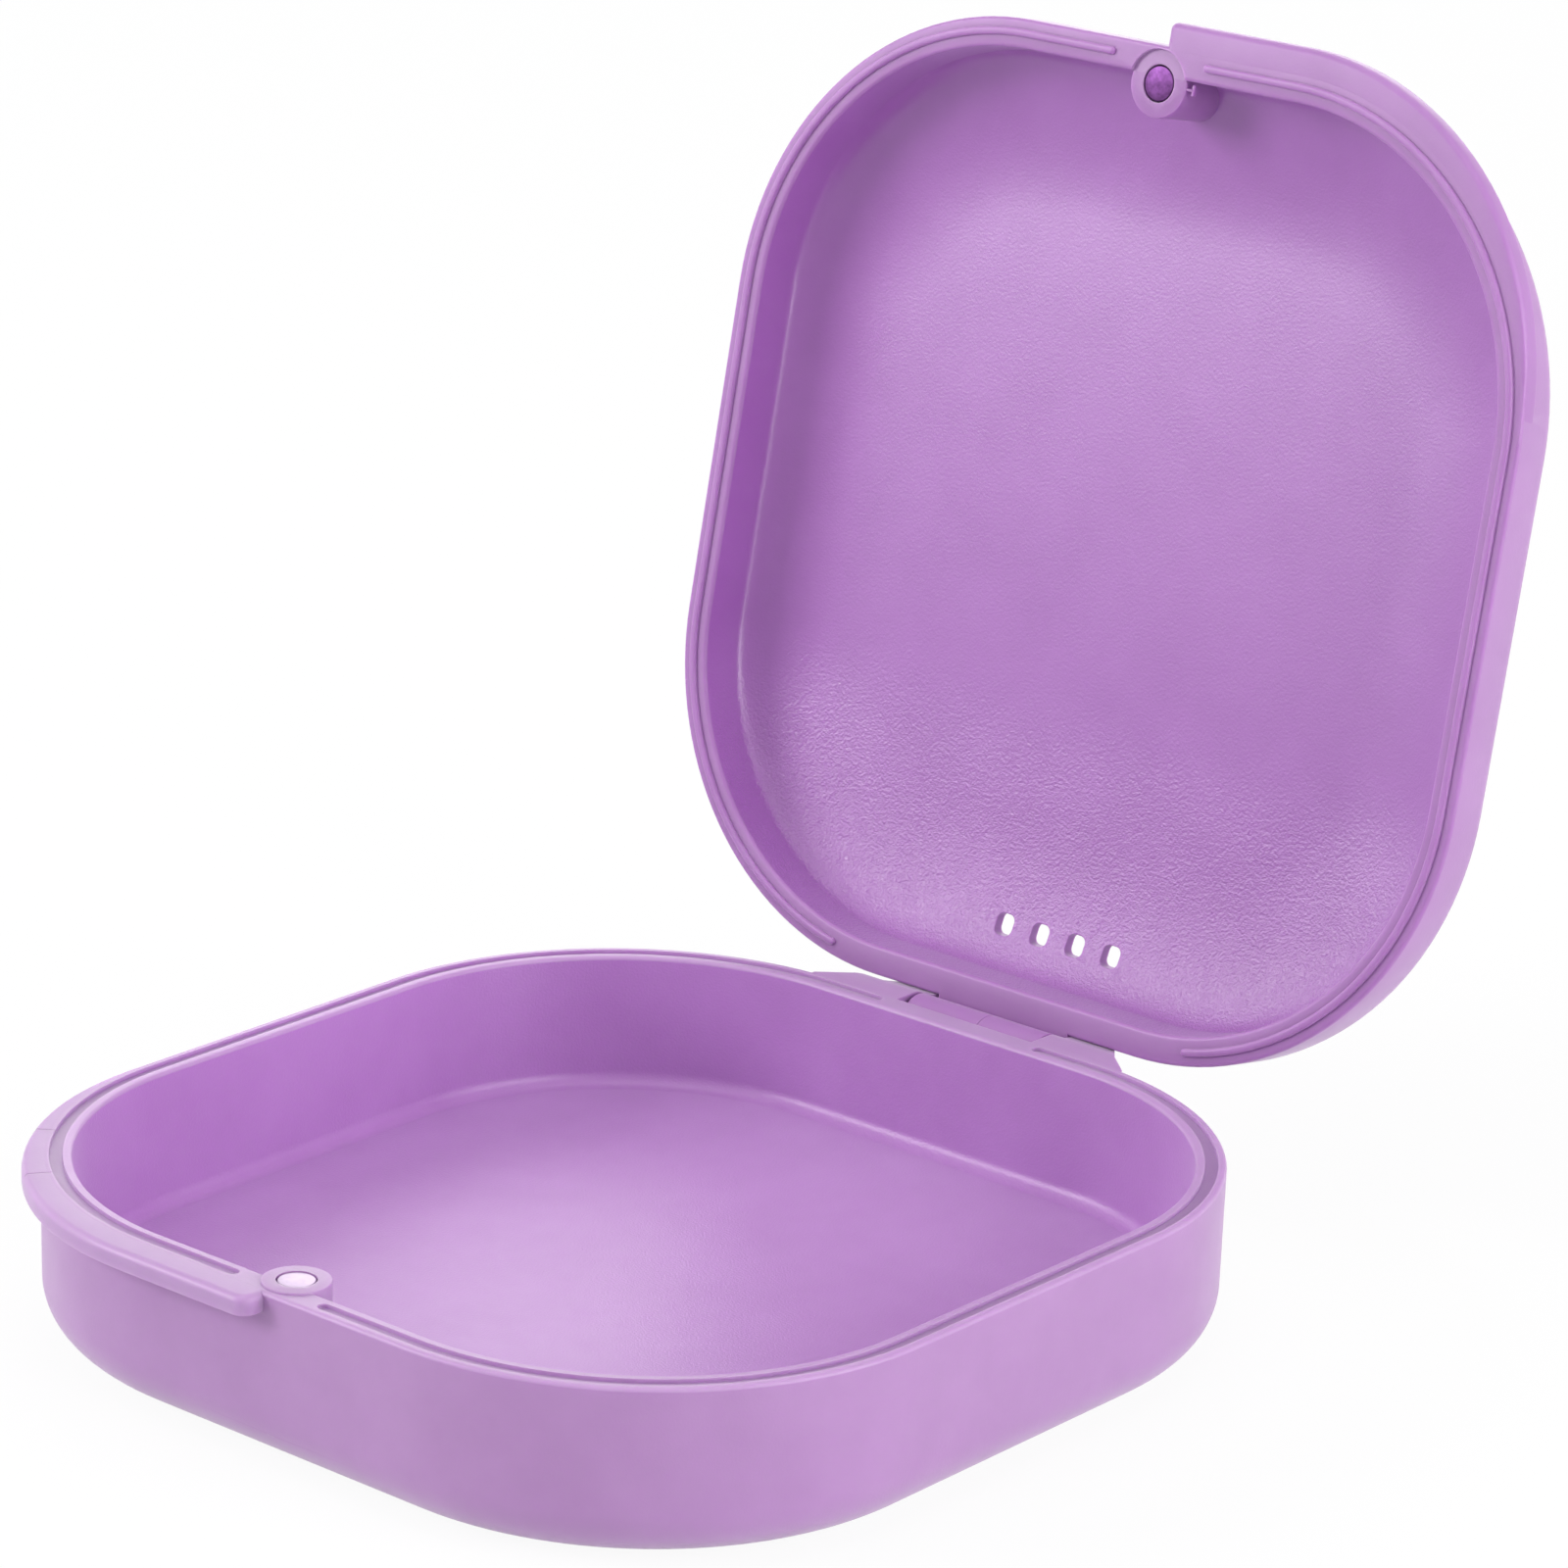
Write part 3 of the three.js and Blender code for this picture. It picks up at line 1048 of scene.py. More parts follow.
@dataclass(frozen=True)
class PlatedMetal:
    """Metal with fine wear for the magnets and the pin: bright plating, or dark with painted
    shade.
    """

    name: str
    colour: Colour
    roughness: Pair
    scratch_mm: float = 0.08
    scratch_depth_mm: float = 0.004
    tarnish: float = 0.9

    def make(self) -> Material:
        """Build the material.

        Returns:
            The material.
        """
        material = bpy.data.materials.new(self.name)
        tree = NodeTree(material)
        shade = (*(self.tarnish * channel for channel in self.colour[:3]), 1.0)
        scratches = tree.noise(self.scratch_mm, 3.0)
        inputs = {
            "Base Color": tree.blend(tree.noise(0.5, 3.0), shade, self.colour),
            "Metallic": 1.0,
            "Roughness": tree.span(tree.noise(0.3, 4.0), *self.roughness),
            "Normal": tree.bump(scratches, self.scratch_depth_mm, 0.6),
        }
        tree.feed(tree.shader, inputs)
        return material


@dataclass(frozen=True)
class HingeSizes:
    """Places and sizes of the hinge."""

    behind: float = 2.0
    barrel: float = 2.35
    open_degrees: float = 101.0
    root: float = 1.2
    lug_inner: float = 7.1
    lug_outer: float = 14.0
    lug_flare: float = 2.3
    heel_taper: float = 3.0
    heel_reach: float = 4.0
    heel_height: float = 1.6
    heel_relief: float = 0.01
    underside_drop: float = 6.0
    stop_gap: float = 0.06
    gap_left: float = 0.4
    gap_right: float = 0.2
    clearance: float = 0.3
    web_ledge: float = 0.6
    bore: float = 0.95
    bore_spare: float = 0.2
    pin: float = 0.75
    pin_left: float = -13.4
    pin_right: float = 12.6
    pin_edge: float = 0.15
    edge: float = 0.22
    end_edge: float = 0.07
    knuckle_turn: float = 1.7
    seam: float = 0.75
    seam_width: float = 0.12
    seam_depth: float = 0.07
    seam_spare: float = 0.4

    @property
    def root_back(self) -> float:
        """Where the lugs and the web end inside the wall, counted back from the axis."""
        return -(self.behind + self.root)

    @property
    def recess(self) -> float:
        """Radius of the recess that the knuckle turns in."""
        return self.barrel + self.clearance

    @property
    def lug_end(self) -> float:
        """Where a lug's flare ends along the axis."""
        return self.lug_outer + self.lug_flare


@dataclass(frozen=True)
class CatchSizes:
    """Bosses and magnets of the catch."""

    inset: float = 3.1
    boss: float = 2.65
    seat_clearance: float = 0.15
    boss_rise: float = 0.2
    boss_edge: float = 0.12
    lid_recess: float = 0.35
    lid_boss_edge: float = 0.1
    magnet: float = 1.45
    magnet_length: float = 2.0
    magnet_edge: float = 0.1
    pocket_clearance: float = 0.1
    magnet_recess: float = 0.05
    glue_gap: float = 0.3

    @property
    def seat(self) -> float:
        """Radius of the seat and of the lid's boss."""
        return self.boss + self.seat_clearance

    @property
    def pocket_depth(self) -> float:
        """Depth of a magnet's pocket below its boss's face."""
        return self.magnet_recess + self.magnet_length + self.glue_gap


@dataclass
class Case:
    """What the base and the lid share."""

    outline: Outline = field(default_factory=Outline)
    hinge: HingeSizes = field(default_factory=HingeSizes)
    catch: CatchSizes = field(default_factory=CatchSizes)
    base_height: float = 14.4
    rim_gap: float = 0.15
    rim_width: float = 2.45
    groove_inset: float = 1.175

    @property
    def axis(self) -> Vector:
        """A point of the hinge axis."""
        back = self.outline.half_depth + self.hinge.behind
        return Vector((0, back, self.base_height - self.hinge.barrel))

    @property
    def lid_axis(self) -> Vector:
        """A point of the hinge axis, seen from the closed lid with its rim at height zero."""
        return self.axis - Vector((0, 0, self.base_height + self.rim_gap))

    @property
    def opened(self) -> Matrix:
        """Matrix that takes the closed lid, rim at height zero, to its open place."""
        turn = Matrix.Rotation(-math.radians(self.hinge.open_degrees), 4, "X")
        return Matrix.Translation(self.axis) @ turn @ Matrix.Translation(-self.lid_axis)

    @property
    def boss_y(self) -> float:
        """Depth place of both bosses."""
        return self.catch.inset - self.outline.half_depth

    def upright(self, radius: float, bottom: float, top: float, sides: int) -> BMesh:
        """Make an upright cylinder at the catch.

        Args:
            radius: Its radius.
            bottom: Height of its bottom.
            top: Height of its top.
            sides: Number of sides.

        Returns:
            The bmesh.
        """
        centre = Vector((0, self.boss_y, (bottom + top) / 2))
        return cylinder(radius, centre, top - bottom, "Z", sides)

    def pocket(self, face: float, inward: int) -> Object:
        """Make the cutter of a magnet's pocket.

        Args:
            face: Height of the boss's face.
            inward: +1 where the pocket goes up from the face, -1 where it goes down.

        Returns:
            The cutter.
        """
        catch = self.catch
        ends = (face - inward * OVERCUT_MM, face + inward * catch.pocket_depth)
        radius = catch.magnet + catch.pocket_clearance
        return mesh_object("pocket", self.upright(radius, min(ends), max(ends), Sides.BARREL))

    def finish(
        self, piece: Object, body: str, node: str, slot: str, materials: list[Material]
    ) -> Object:
        """Bring a piece to metres, shade and dress it, and let it ride.

        Args:
            piece: The piece.
            body: CAD body that carries it.
            node: CAD node that it stands for.
            slot: Not used.
            materials: Its materials in the order of the mesh's indices.

        Returns:
            The piece.
        """
        piece.data.transform(Matrix.Scale(METRES_PER_MM, 4))
        piece.data.shade_smooth()
        piece.data.set_sharp_from_angle(angle=SHARP_ANGLE)
        while len(piece.data.materials) > len(materials):
            piece.data.materials.pop()
        for index, material in enumerate(materials):
            piece.data.materials[index] = material
        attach(piece, body)
        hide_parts(node)
        LOG.info("%s: %d faces on %s", piece.name, len(piece.data.polygons), body)
        return piece


@dataclass
class BaseTray:
    """Base moulding: tray, grooved rim, left lip, magnet pillar and hinge lugs."""

    case: Case
    outer_draft: float = 0.008
    foot_rise: float = 4.7
    foot_reach: float = 5.5
    inner_draft: float = 0.02
    floor_depth: float = 11.4
    floor_fillet: float = 1.3
    lip_corner: float = 1.3
    pillar_sunk: float = 0.08
    groove_width: float = 1.05
    groove_depth: float = 0.34
    groove_ends: Pair = (4.7, 8.5)
    plan_margin: float = 2.0
    plan_half_height: float = 10.0
    witness_degrees: tuple[float, ...] = (35.7, 55.3)
    witness_size: Place = (4.0, 0.12, 0.5)
    witness_out: float = 1.25

    def build(self, satin: Material, grained: Material, thin: Material) -> Object:
        """Join and cut the moulding.

        Args:
            satin: Finish of the outside.
            grained: Finish of the inside.
            thin: Finish of the rim and of the other thin parts that light shines through, in a
            lighter colour that is painted light.

        Returns:
            The finished piece.
        """
        case, height = self.case, self.case.base_height
        outer = Wall(0.0, self.outer_draft, height, self.foot_rise, self.foot_reach)
        fillet = self.floor_fillet
        inner = Wall(case.rim_width, self.inner_draft, self.floor_depth, fillet, fillet)
        tray = Shell(case.outline, outer, inner, case.rim_width).build("base_tray")
        lip = FingerLip(case.outline, self.lip_corner).build("base_lip")
        pillar = self._pillar()
        for raised in (tray, lip, pillar):
            raised.data.transform(Matrix.Translation((0, 0, height)))
        pocket = case.pocket(height + case.catch.boss_rise, -1)
        combine(tray, Joining.ADD, pillar, self._lug(Hand.LEFT), self._lug(Hand.RIGHT))
        combine(tray, Joining.CUT, self._recess(), self._groove(), pocket, self._bore())
        combine(tray, Joining.ADD, lip)
        combine(tray, Joining.CUT, self._witness_lines())
        return case.finish(tray, "base", "base_shell", "lilac_plastic", [satin, grained, thin])

    def _pillar(self) -> Object:
        """Make the pillar that carries the magnet, from the floor to a little over the rim.

        Returns:
            The pillar, with the rim at height zero.
        """
        catch = self.case.catch
        bottom = -(self.floor_depth + self.pillar_sunk)
        bm = self.case.upright(catch.boss, bottom, catch.boss_rise, Sides.BOSS)
        round_edges(bm, sharp_edges(bm, where=lambda place: place.z > 0), catch.boss_edge, 2)
        return mesh_object("pillar", bm, Skin.THIN)

    def _lug(self, hand: Hand) -> Object:
        """Make a hinge lug with the heel that the open lid rests on.

        Args:
            hand: Which side it is on.

        Returns:
            The lug in its place.
        """
        hinge = self.case.hinge
        turn = math.radians(hinge.open_degrees)
        rim = hinge.barrel + self.case.rim_gap
        edge_back = math.cos(turn) * -hinge.behind + math.sin(turn) * rim
        edge_up = math.cos(turn) * rim + math.sin(turn) * hinge.behind
        fall = math.tan(turn - math.pi / 2 - hinge.heel_relief)

        def heel(back: float) -> float:
            """Height of the heel's top."""
            return edge_up - hinge.stop_gap - fall * (back - edge_back)

        root = hinge.root_back
        profile = [
            (root, hinge.barrel),
            (root, -hinge.underside_drop),
            (-hinge.behind, -hinge.underside_drop),
            (hinge.heel_reach, heel(hinge.heel_reach) - hinge.heel_height),
            (hinge.heel_reach, heel(hinge.heel_reach)),
            (0.0, heel(0.0)),
            (0.0, hinge.barrel),
        ]
        inner, outer = hinge.lug_inner, hinge.lug_end
        lug = prism(profile, inner, outer, "lug", Skin.SATIN)
        barrel = rod(hinge.barrel, inner, outer, Vector(ORIGIN), Sides.BARREL)
        combine(lug, Joining.ADD, mesh_object("lug_barrel", barrel))
        combine(lug, Joining.KEEP_SHARED, self._plan(root))

        def trim(bm: BMesh) -> None:
            """Round the edges and put the lug in place.

            Args:
                bm: The lug, on the right of the origin.
            """
            weld(bm)
            bmesh.ops.dissolve_limit(
                bm, angle_limit=math.radians(1), verts=bm.verts[:], edges=bm.edges[:]
            )
            outside = [
                edge
                for edge in sharp_edges(bm, 30)
                if any(vert.co.y > root + NEAR_MM for vert in edge.verts)
                and any(abs(vert.co.x - inner) >= NEAR_MM for vert in edge.verts)
            ]
            round_edges(bm, outside, hinge.edge)
            stretch(bm, (hand.value, 1, 1))
            move(bm, self.case.axis)
            weld(bm)

        return reshape(lug, trim)

    def _plan(self, root: float) -> Object:
        """Make a block with the lug's outline seen from above, flared where it meets the wall.

        Args:
            root: Where the lug ends inside the wall.

        Returns:
            The block.
        """
        hinge, margin = self.case.hinge, self.plan_margin
        inner, heel = hinge.lug_inner - margin, hinge.lug_outer - hinge.heel_taper
        corners = [
            (inner, root - margin),
            (hinge.lug_end, root - margin),
            (hinge.lug_end, -hinge.behind),
            (hinge.lug_outer, 0.0),
            (heel, hinge.heel_reach),
            (heel, hinge.heel_reach + margin),
            (inner, hinge.heel_reach + margin),
        ]
        bm = bmesh.new()
        face = bm.faces.new([bm.verts.new((x, y, -self.plan_half_height)) for x, y in corners])
        pull_faces(bm, region([face]), (0, 0, 2 * self.plan_half_height))
        weld(bm)
        return mesh_object("lug_plan", bm)

    def _recess(self) -> Object:
        """Cutter of the round recess in the back wall that the knuckle turns in."""
        radius, end = self.case.hinge.recess, self.case.hinge.lug_inner
        return mesh_object("recess", rod(radius, -end, end, self.case.axis, Sides.BOSS))

    def _groove(self) -> Object:
        """Make the cutter of the groove in the rim, on both sides.

        Returns:
            The cutter.
        """
        case, height = self.case, self.case.base_height
        bottom, top = height - self.groove_depth, height + OVERCUT_MM
        width, ends = self.groove_width, self.groove_ends
        return RimBand(case.outline, case.groove_inset, width, *ends, bottom, top).build("groove")

    def _witness_lines(self) -> Object:
        """Make the cutter of fine lines across the lip, where an insert of the mould met the rest.

        Returns:
            The cutter.
        """
        outline = self.case.outline
        centre = outline.corner_centre(-1, -1) + Vector((0, 0, self.case.base_height))
        bm = bmesh.new()
        for degrees in self.witness_degrees:
            middle = (-(outline.corner_radius + self.witness_out), 0, 0)
            line = block(bm, self.witness_size, middle)
            rotate(bm, degrees, "Z", line)
            move(bm, centre, line)
        return mesh_object("witness_lines", bm, Skin.THIN)

    def _bore(self) -> Object:
        """Make the cutter of the hinge pin's bore, open on the left.

        Returns:
            The cutter.
        """
        hinge = self.case.hinge
        left, right = -(hinge.lug_end + OVERCUT_MM), hinge.pin_right + hinge.bore_spare
        return mesh_object("bore", rod(hinge.bore, left, right, self.case.axis, Sides.BORE))


@dataclass
class LidCover:
    """Lid moulding: dome, beaded rim, right lip, magnet boss, hinge knuckle and vents."""

    case: Case
    height: float = 8.2
    outer_draft: float = 0.01
    dome_rise: float = 4.6
    dome_reach: float = 18.0
    inner_draft: float = 0.02
    ceiling_height: float = 7.1
    ceiling_rise: float = 3.3
    ceiling_reach: float = 13.0
    lip_corner: float = 0.6
    boss_stop: float = 0.4
    boss_skin: float = 0.3
    bead_width: float = 0.65
    bead_height: float = 0.34
    bead_root: float = 1.2
    bead_tip: float = 0.2
    bead_ends: Pair = (4.85, 19.0)
    vent_count: int = 4
    vent_pitch: float = 3.75
    vent_width: float = 1.8
    vent_length: float = 1.85
    vent_corner: float = 0.6
    vent_inset: float = 6.05
    vent_bottom: float = 1.2
    nub_back: float = 0.05
    nub_height: float = 0.65
    nub_edge: float = 0.06
    nub_bars: tuple[Pair, ...] = ((2.95, 3.4), (0.9, 0.24), (0.22, 0.9), (0.5, 0.4))

    def build(self, satin: Material, grained: Material, thin: Material) -> Object:
        """Join and cut the moulding.

        Args:
            satin: Finish of the outside.
            grained: Finish of the inside, in a darker, more purple colour that is painted shade.
            thin: Finish of the rim and of the other thin parts that light shines through, in a
            darker colour than the outside that is painted shade.

        Returns:
            The finished piece.
        """
        case, rim = self.case, self.case.rim_width
        outer = Wall(0.0, self.outer_draft, self.height, self.dome_rise, self.dome_reach)
        ceiling = (self.ceiling_height, self.ceiling_rise, self.ceiling_reach)
        inner = Wall(rim, self.inner_draft, *ceiling)
        lid = Shell(case.outline, outer, inner, rim).build("lid_cover")
        lip = FingerLip(case.outline, self.lip_corner).build("lid_lip")
        for upturned in (lid, lip):
            upturned.data.transform(UPTURNED)
        pocket = case.pocket(case.catch.lid_recess, 1)
        combine(lid, Joining.ADD, self._boss(), self._beads(), self._knuckle(), self._nub())
        combine(lid, Joining.CUT, self._seat(), pocket, self._vents(), self._bore())
        combine(lid, Joining.ADD, lip)
        lid.data.transform(case.opened)
        return case.finish(lid, "lid", "lid_shell", "lilac_plastic", [satin, grained, thin])

    def _boss(self) -> Object:
        """Make the boss that carries the magnet, from its recessed face into the dome.

        Returns:
            The boss, which stays inside the dome's outside.
        """
        catch = self.case.catch
        bottom, top = catch.lid_recess, self.ceiling_height - self.boss_stop
        bm = self.case.upright(catch.seat, bottom, top, Sides.BOSS)
        face = sharp_edges(bm, where=lambda place: place.z < bottom + NEAR_MM)
        round_edges(bm, face, catch.lid_boss_edge, 2)
        skin = self.boss_skin
        dome = (self.height - skin, self.dome_rise, self.dome_reach)
        within = Wall(skin, self.outer_draft, *dome)
        core = Shell(self.case.outline, within, within, self.case.rim_width).core("boss_core")
        core.data.transform(UPTURNED)
        return combine(mesh_object("lid_boss", bm, Skin.THIN), Joining.KEEP_SHARED, core)

    def _beads(self) -> Object:
        """Make the beads that drop into the base's groove.

        Returns:
            The beads.
        """
        case, width, ends = self.case, self.bead_width, self.bead_ends
        heights = (-self.bead_height, self.bead_root)
        band = RimBand(case.outline, case.groove_inset, width, *ends, *heights, self.bead_tip)
        return band.build("beads")

    def _knuckle(self) -> Object:
        """Make the middle barrel of the hinge with its web.

        Returns:
            The knuckle, with the lid's rim at height zero.
        """
        hinge = self.case.hinge
        left, right = -hinge.lug_inner + hinge.gap_left, hinge.lug_inner - hinge.gap_right
        tangent = hinge.barrel * math.sqrt(0.5)
        rim = hinge.barrel + self.case.rim_gap
        top = 2 * tangent + hinge.behind
        web = [
            (hinge.root_back, rim),
            (-hinge.web_ledge, rim),
            (-hinge.web_ledge, 0.0),
            (tangent, tangent),
            (-hinge.behind, top),
            (hinge.root_back, top),
        ]
        knuckle = prism(web, left, right, "knuckle", Skin.THIN)
        barrel = rod(hinge.barrel, left, right, Vector(ORIGIN), Sides.BARREL, hinge.end_edge)
        rotate(barrel, hinge.knuckle_turn, "X")
        combine(knuckle, Joining.ADD, mesh_object("knuckle_barrel", barrel, Skin.THIN))
        combine(knuckle, Joining.CUT, self._seam())
        knuckle.data.transform(Matrix.Translation(self.case.lid_axis))
        return knuckle

    def _seam(self) -> Object:
        """Make the ring that cuts the mould's witness line round the knuckle.

        Returns:
            The ring.
        """
        hinge = self.case.hinge
        middle, width, deep = Vector((hinge.seam, 0, 0)), hinge.seam_width, hinge.seam_depth
        ring, core = (
            mesh_object(name, cylinder(radius, middle, length, "X", Sides.BARREL), Skin.THIN)
            for name, radius, length in (
                ("seam", hinge.barrel + hinge.seam_spare, width),
                ("seam_core", hinge.barrel - deep, 2 * width),
            )
        )
        return combine(ring, Joining.CUT, core)

    def _nub(self) -> Object:
        """Make the small tab of flash beside the magnet boss.

        Returns:
            The tab.
        """
        bm = bmesh.new()
        y = self.case.boss_y + self.nub_back
        for out, *size in zip(*self.nub_bars, strict=True):
            block(bm, size, (out, y, self.nub_height))
        round_edges(bm, bm.edges[:], self.nub_edge, 2)
        return mesh_object("nub", bm, Skin.THIN)

    def _seat(self) -> Object:
        """Cutter of the round seat in the rim that the base's boss enters."""
        radius, top = self.case.catch.seat, self.case.catch.lid_recess
        return mesh_object("seat", self.case.upright(radius, -OVERCUT_MM, top, Sides.BOSS))

    def _vents(self) -> Object:
        """Make the cutter of the vent slots beside the hinge.

        Returns:
            The cutter.
        """
        bm = bmesh.new()
        y = self.case.outline.half_depth - self.vent_inset
        for index in range(self.vent_count):
            across = (index - (self.vent_count - 1) / 2) * self.vent_pitch
            middle = (across, y, self.height / 2 + self.vent_bottom)
            block(bm, (self.vent_width, self.vent_length, self.height), middle)
        upright = [e for e in bm.edges if abs(e.verts[0].co.z - e.verts[1].co.z) > 1]
        round_edges(bm, upright, self.vent_corner, 5)
        return mesh_object("vents", bm, Skin.THIN)

    def _bore(self) -> Object:
        """Cutter of the hinge pin's bore through the knuckle."""
        radius, end = self.case.hinge.bore, self.case.hinge.lug_inner
        return mesh_object("lid_bore", rod(radius, -end, end, self.case.lid_axis, Sides.BORE))


@dataclass
class Hardware:
    """Magnets and hinge pin."""

    case: Case

    def _disc(self, bottom: float) -> BMesh:
        """Make a magnet's disc at the catch.

        Args:
            bottom: Height that it stands on.

        Returns:
            The bmesh.
        """
        catch, length = self.case.catch, self.case.catch.magnet_length
        middle = Vector((0, 0, length / 2))
        bm = cylinder(catch.magnet, middle, length, "Z", Sides.MAGNET, catch.magnet_edge)
        move(bm, (0, self.case.boss_y, bottom))
        return bm

    def base_magnet(self, metal: Material) -> Object:
        """Make the magnet of the base.

        Args:
            metal: Its finish.

        Returns:
            The finished piece.
        """
        catch = self.case.catch
        face = self.case.base_height + catch.boss_rise
        disc = self._disc(face - catch.magnet_recess - catch.magnet_length)
        piece = mesh_object("base_magnet_disc", disc)
        return self.case.finish(piece, "base", "base_magnet", "nickel_plate", [metal])

    def lid_magnet(self, metal: Material) -> Object:
        """Make the magnet of the lid, in its open place.

        Args:
            metal: Its finish.

        Returns:
            The finished piece.
        """
        catch = self.case.catch
        disc = self._disc(catch.lid_recess + catch.magnet_recess)
        bmesh.ops.transform(disc, matrix=self.case.opened, verts=disc.verts[:])
        piece = mesh_object("lid_magnet_disc", disc)
        return self.case.finish(piece, "lid", "lid_magnet", "nickel_plate", [metal])

    def pin(self, metal: Material) -> Object:
        """Make the hinge pin.

        Args:
            metal: Its finish.

        Returns:
            The finished piece.
        """
        hinge = self.case.hinge
        ends = (hinge.pin_left, hinge.pin_right)
        bm = rod(hinge.pin, *ends, self.case.axis, Sides.PIN, hinge.pin_edge)
        piece = mesh_object("hinge_pin_rod", bm)
        return self.case.finish(piece, "base", "hinge_pin", "pin_steel", [metal])


@dataclass(frozen=True)
class SoftBox:
    """Square soft lamp: its place and side in metres and its power in watts."""

    name: str
    place: Place
    side: float
    watts: float


LAMPS = (
    SoftBox("key", (-0.6, -0.65, 0.4), 0.4, 6.2),
    SoftBox("right_box", (0.9, 0.1, 0.3), 0.8, 10.8),
    SoftBox("left_box", (-0.9, -0.1, 0.3), 0.8, 1.9),
    SoftBox("top_box", (0.0, 0.0, 0.95), 0.8, 3.0),
    SoftBox("front_box", (0.0, -0.5, 0.8), 0.8, 1.8),
    SoftBox("back_box", (-0.5, 0.8, 0.5), 0.8, 3.5),
)


@dataclass
class Studio:
    """White studio: floor, world, lamps and the camera at the photograph's view."""

    aim: Vector = field(default_factory=lambda: Vector((-0.004044, 0.021124, 0.038368)))
    azimuth: float = 39.9914
    elevation: float = 18.2766
    roll: float = 1.8789
    distance: float = 0.498368
    lens: float = 144.30
    sensor: float = 36.0
    clip: Pair = (0.02, 20.0)
    floor_size: float = 3.0
    floor_drop: float = 0.0002
    floor_white: float = 0.93
    fill: float = 0.1

    def camera(self) -> None:
        """Create the camera and make it the scene's own."""
        azimuth, elevation = math.radians(self.azimuth), math.radians(self.elevation)
        level = math.cos(elevation)
        back = Vector(
            (math.sin(azimuth) * level, -math.cos(azimuth) * level, math.sin(elevation))
        )
        data = bpy.data.cameras.new("camera")
        data.lens, data.sensor_width, data.sensor_fit = self.lens, self.sensor, "HORIZONTAL"
        data.clip_start, data.clip_end = self.clip
        camera = bpy.data.objects.new("camera", data)
        bpy.context.scene.collection.objects.link(camera)
        upright = (-back).to_track_quat("-Z", "Y").to_matrix().to_4x4()
        turned = upright @ Matrix.Rotation(math.radians(self.roll), 4, "Z")
        camera.matrix_world = Matrix.Translation(self.aim + back * self.distance) @ turned
        bpy.context.scene.camera = camera

    def floor(self) -> None:
        """Make the pale floor, which shows as white and keeps the object's shadow."""
        bm = bmesh.new()
        bmesh.ops.create_grid(bm, x_segments=1, y_segments=1, size=self.floor_size)
        move(bm, (0, 0, -self.floor_drop))
        floor = mesh_object("floor", bm)
        floor.data.materials.clear()
        floor.data.materials.append(self._floor_material())

    def _floor_material(self) -> Material:
        """Mix white with some real shading, where the camera, gloss or glass looks.

        Returns:
            The material.
        """
        material = bpy.data.materials.new("studio_floor")
        tree = NodeTree(material)
        pale = {
            "Base Color": (0.86, 0.86, 0.87, 1.0),
            "Roughness": 0.9,
            "Specular IOR Level": 0.1,
        }
        tree.feed(tree.shader, pale)
        shaders = {
            "Fac": tree.seen(0.0, self.floor_white),
            1: tree.shader.outputs["BSDF"],
            2: tree.node("Emission", {"Strength": 1.0}).outputs["Emission"],
        }
        mixed = tree.node("MixShader", shaders).outputs["Shader"]
        tree.feed(tree.nodes["Material Output"], {"Surface": mixed})
        return material

    def world(self) -> None:
        """Make the world white where it is seen, and a soft grey fill as a light."""
        world = bpy.data.worlds.new("studio")
        bpy.context.scene.world = world
        tree = NodeTree(world, "Background")
        tree.feed(
            tree.shader, {"Color": (1.0, 1.0, 1.0, 1.0), "Strength": tree.seen(self.fill, 1.0)}
        )

    def lamp(self, box: SoftBox) -> None:
        """Hang a lamp and aim it at the case.

        Args:
            box: The lamp.
        """
        data = bpy.data.lights.new(box.name, "AREA")
        data.shape, data.size, data.energy = "SQUARE", box.side, box.watts
        lamp = bpy.data.objects.new(box.name, data)
        bpy.context.scene.collection.objects.link(lamp)
        lamp.location = box.place
        lamp.rotation_mode = "QUATERNION"
        lamp.rotation_quaternion = (self.aim - Vector(box.place)).to_track_quat("-Z", "Y")

    def build(self) -> None:
        """Set up the floor, the world, the lamps and the camera."""
        self.floor()
        self.world()
        for box in LAMPS:
            self.lamp(box)
        self.camera()


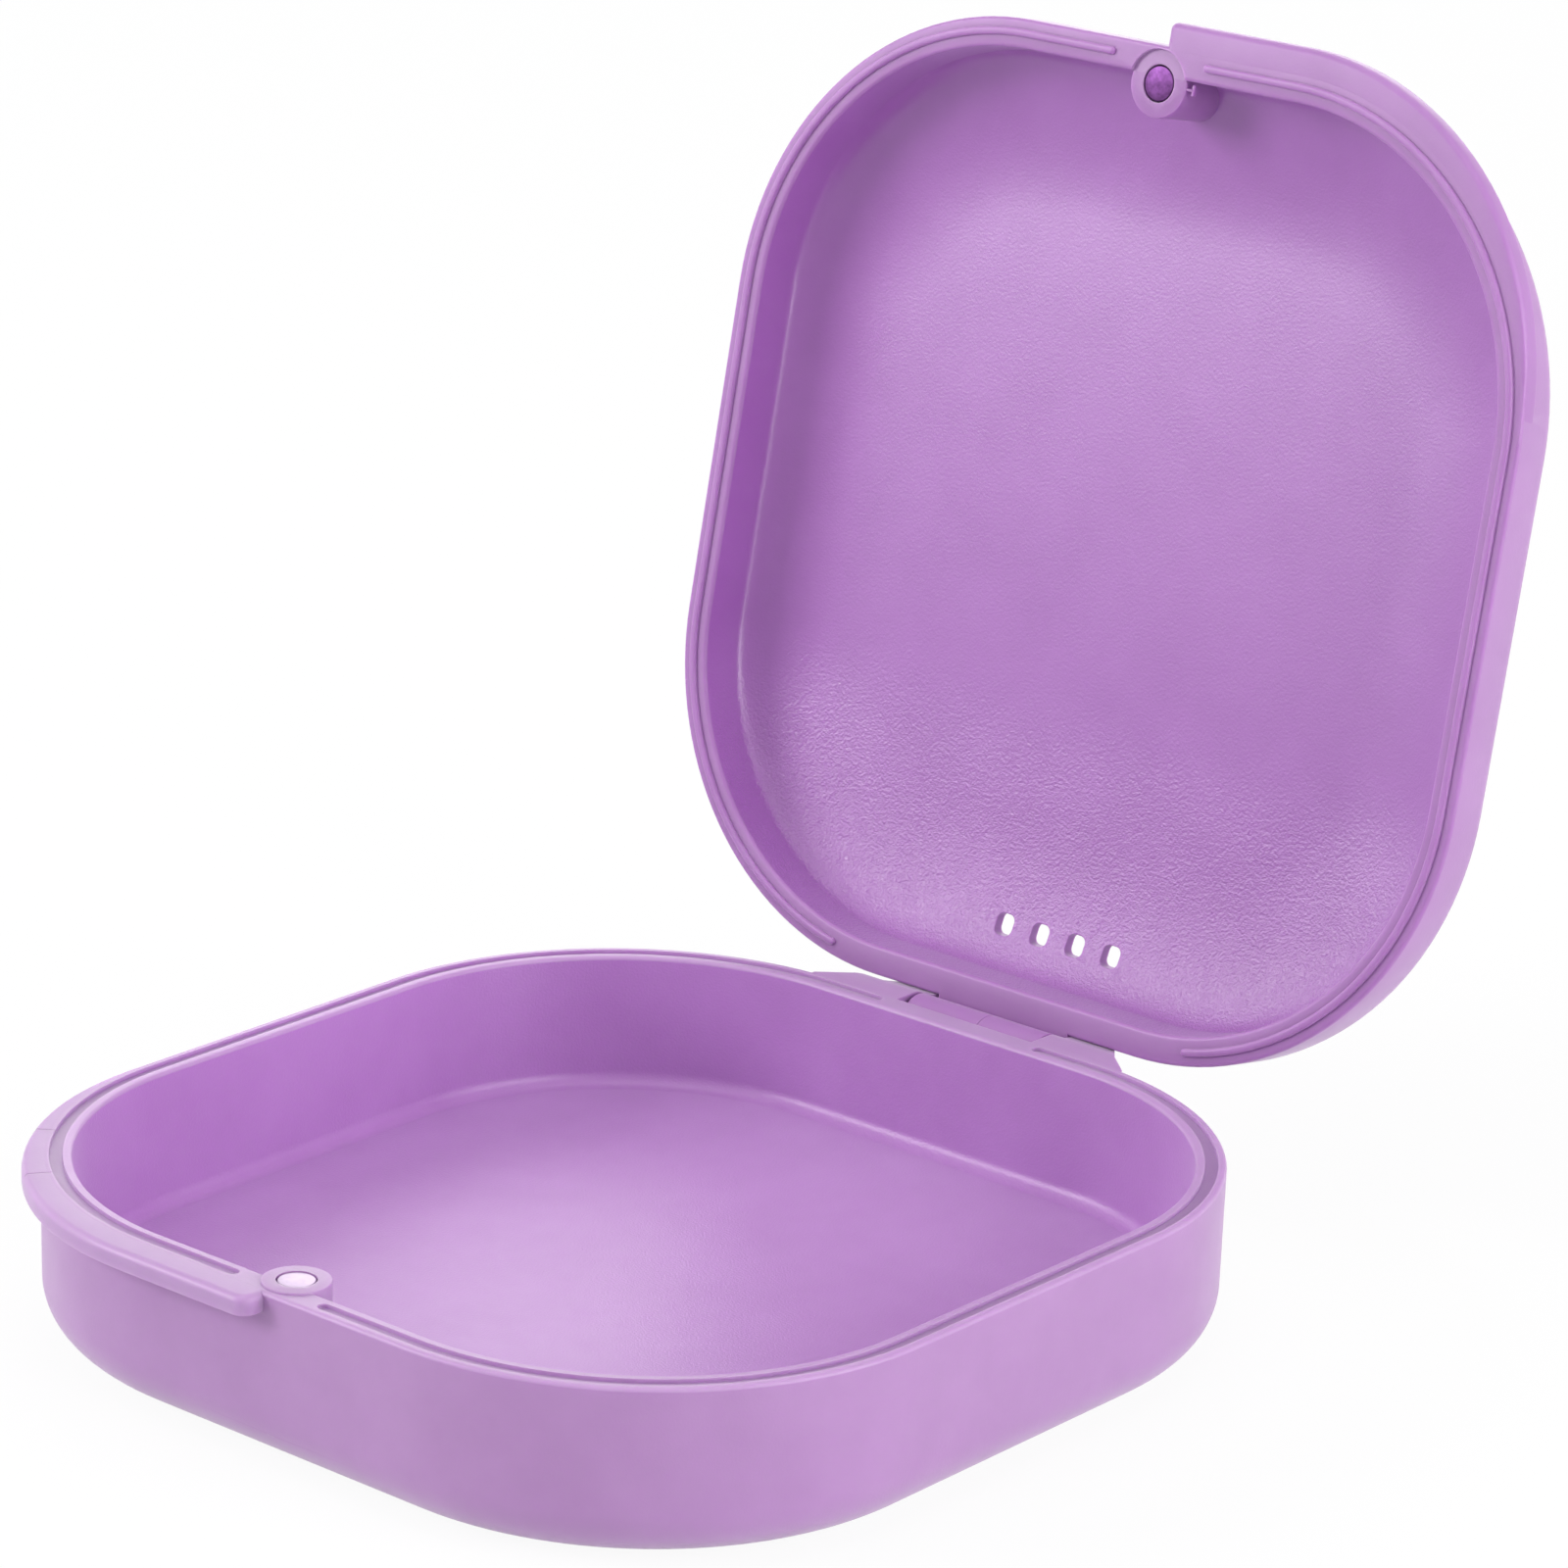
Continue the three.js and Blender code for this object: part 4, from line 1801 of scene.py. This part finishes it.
def main() -> None:
    """Build the case and the studio."""
    logging.basicConfig(level=logging.INFO, format="%(name)s: %(message)s")
    bpy.context.scene.view_settings.view_transform = "Standard"
    case = Case()
    satin = LilacPlastic("lilac_satin").make()
    grained = LilacPlastic(
        "lilac_grained",
        rgba(174, 124, 189),
        rgba(169, 118, 184),
        (0.28, 0.38),
        grain_mm=0.2,
        grain_depth_mm=0.03,
    ).make()
    # The lid's inside takes a darker, more purple copy of the plastic: painted shade inside the
    # open lid.
    pebbled_painted_shade = LilacPlastic(
        "lilac_pebbled_painted_shade",
        rgba(158, 96, 175),
        rgba(153, 90, 170),
        (0.27, 0.29),
        specular=0.8,
        grain_depth_mm=0.015,
        pebble_depth_mm=0.12,
    ).make()
    thin = {"edge_mm": 0.08, "through": 0.6}
    # The base's rim, lip, pillar and groove take a lighter copy of the plastic: painted light on
    # the rim.
    base_rim_painted_light = LilacPlastic(
        "lilac_base_rim_painted_light",
        rgba(172, 140, 182),
        rgba(168, 135, 178),
        sheen=0.12,
        through_mm=2.0,
        **thin,
    ).make()
    # The lid's rim, lip, boss, beads, knuckle and vents take a darker copy of the plastic: painted
    # shade.
    lid_rim_painted_shade = LilacPlastic(
        "lilac_lid_rim_painted_shade", rgba(164, 118, 176), rgba(159, 113, 171), sheen=0.1, **thin
    ).make()
    nickel = PlatedMetal("nickel_plating", rgba(170, 153, 176), (0.26, 0.42)).make()
    # The lid magnet's dark purple colour is painted shade, with a painted reflection of the lilac
    # walls round it.
    painted_shade_nickel = PlatedMetal("nickel_in_shade", rgba(100, 60, 113), (0.34, 0.5), tarnish=0.5).make()
    steel = PlatedMetal("pin_steel_finish", rgba(186, 188, 192), (0.25, 0.4)).make()
    BaseTray(case).build(satin, grained, base_rim_painted_light)
    LidCover(case).build(satin, pebbled_painted_shade, lid_rim_painted_shade)
    hardware = Hardware(case)
    hardware.base_magnet(nickel)
    hardware.lid_magnet(painted_shade_nickel)
    hardware.pin(steel)
    Studio().build()


if __name__ == "__main__":
    main()
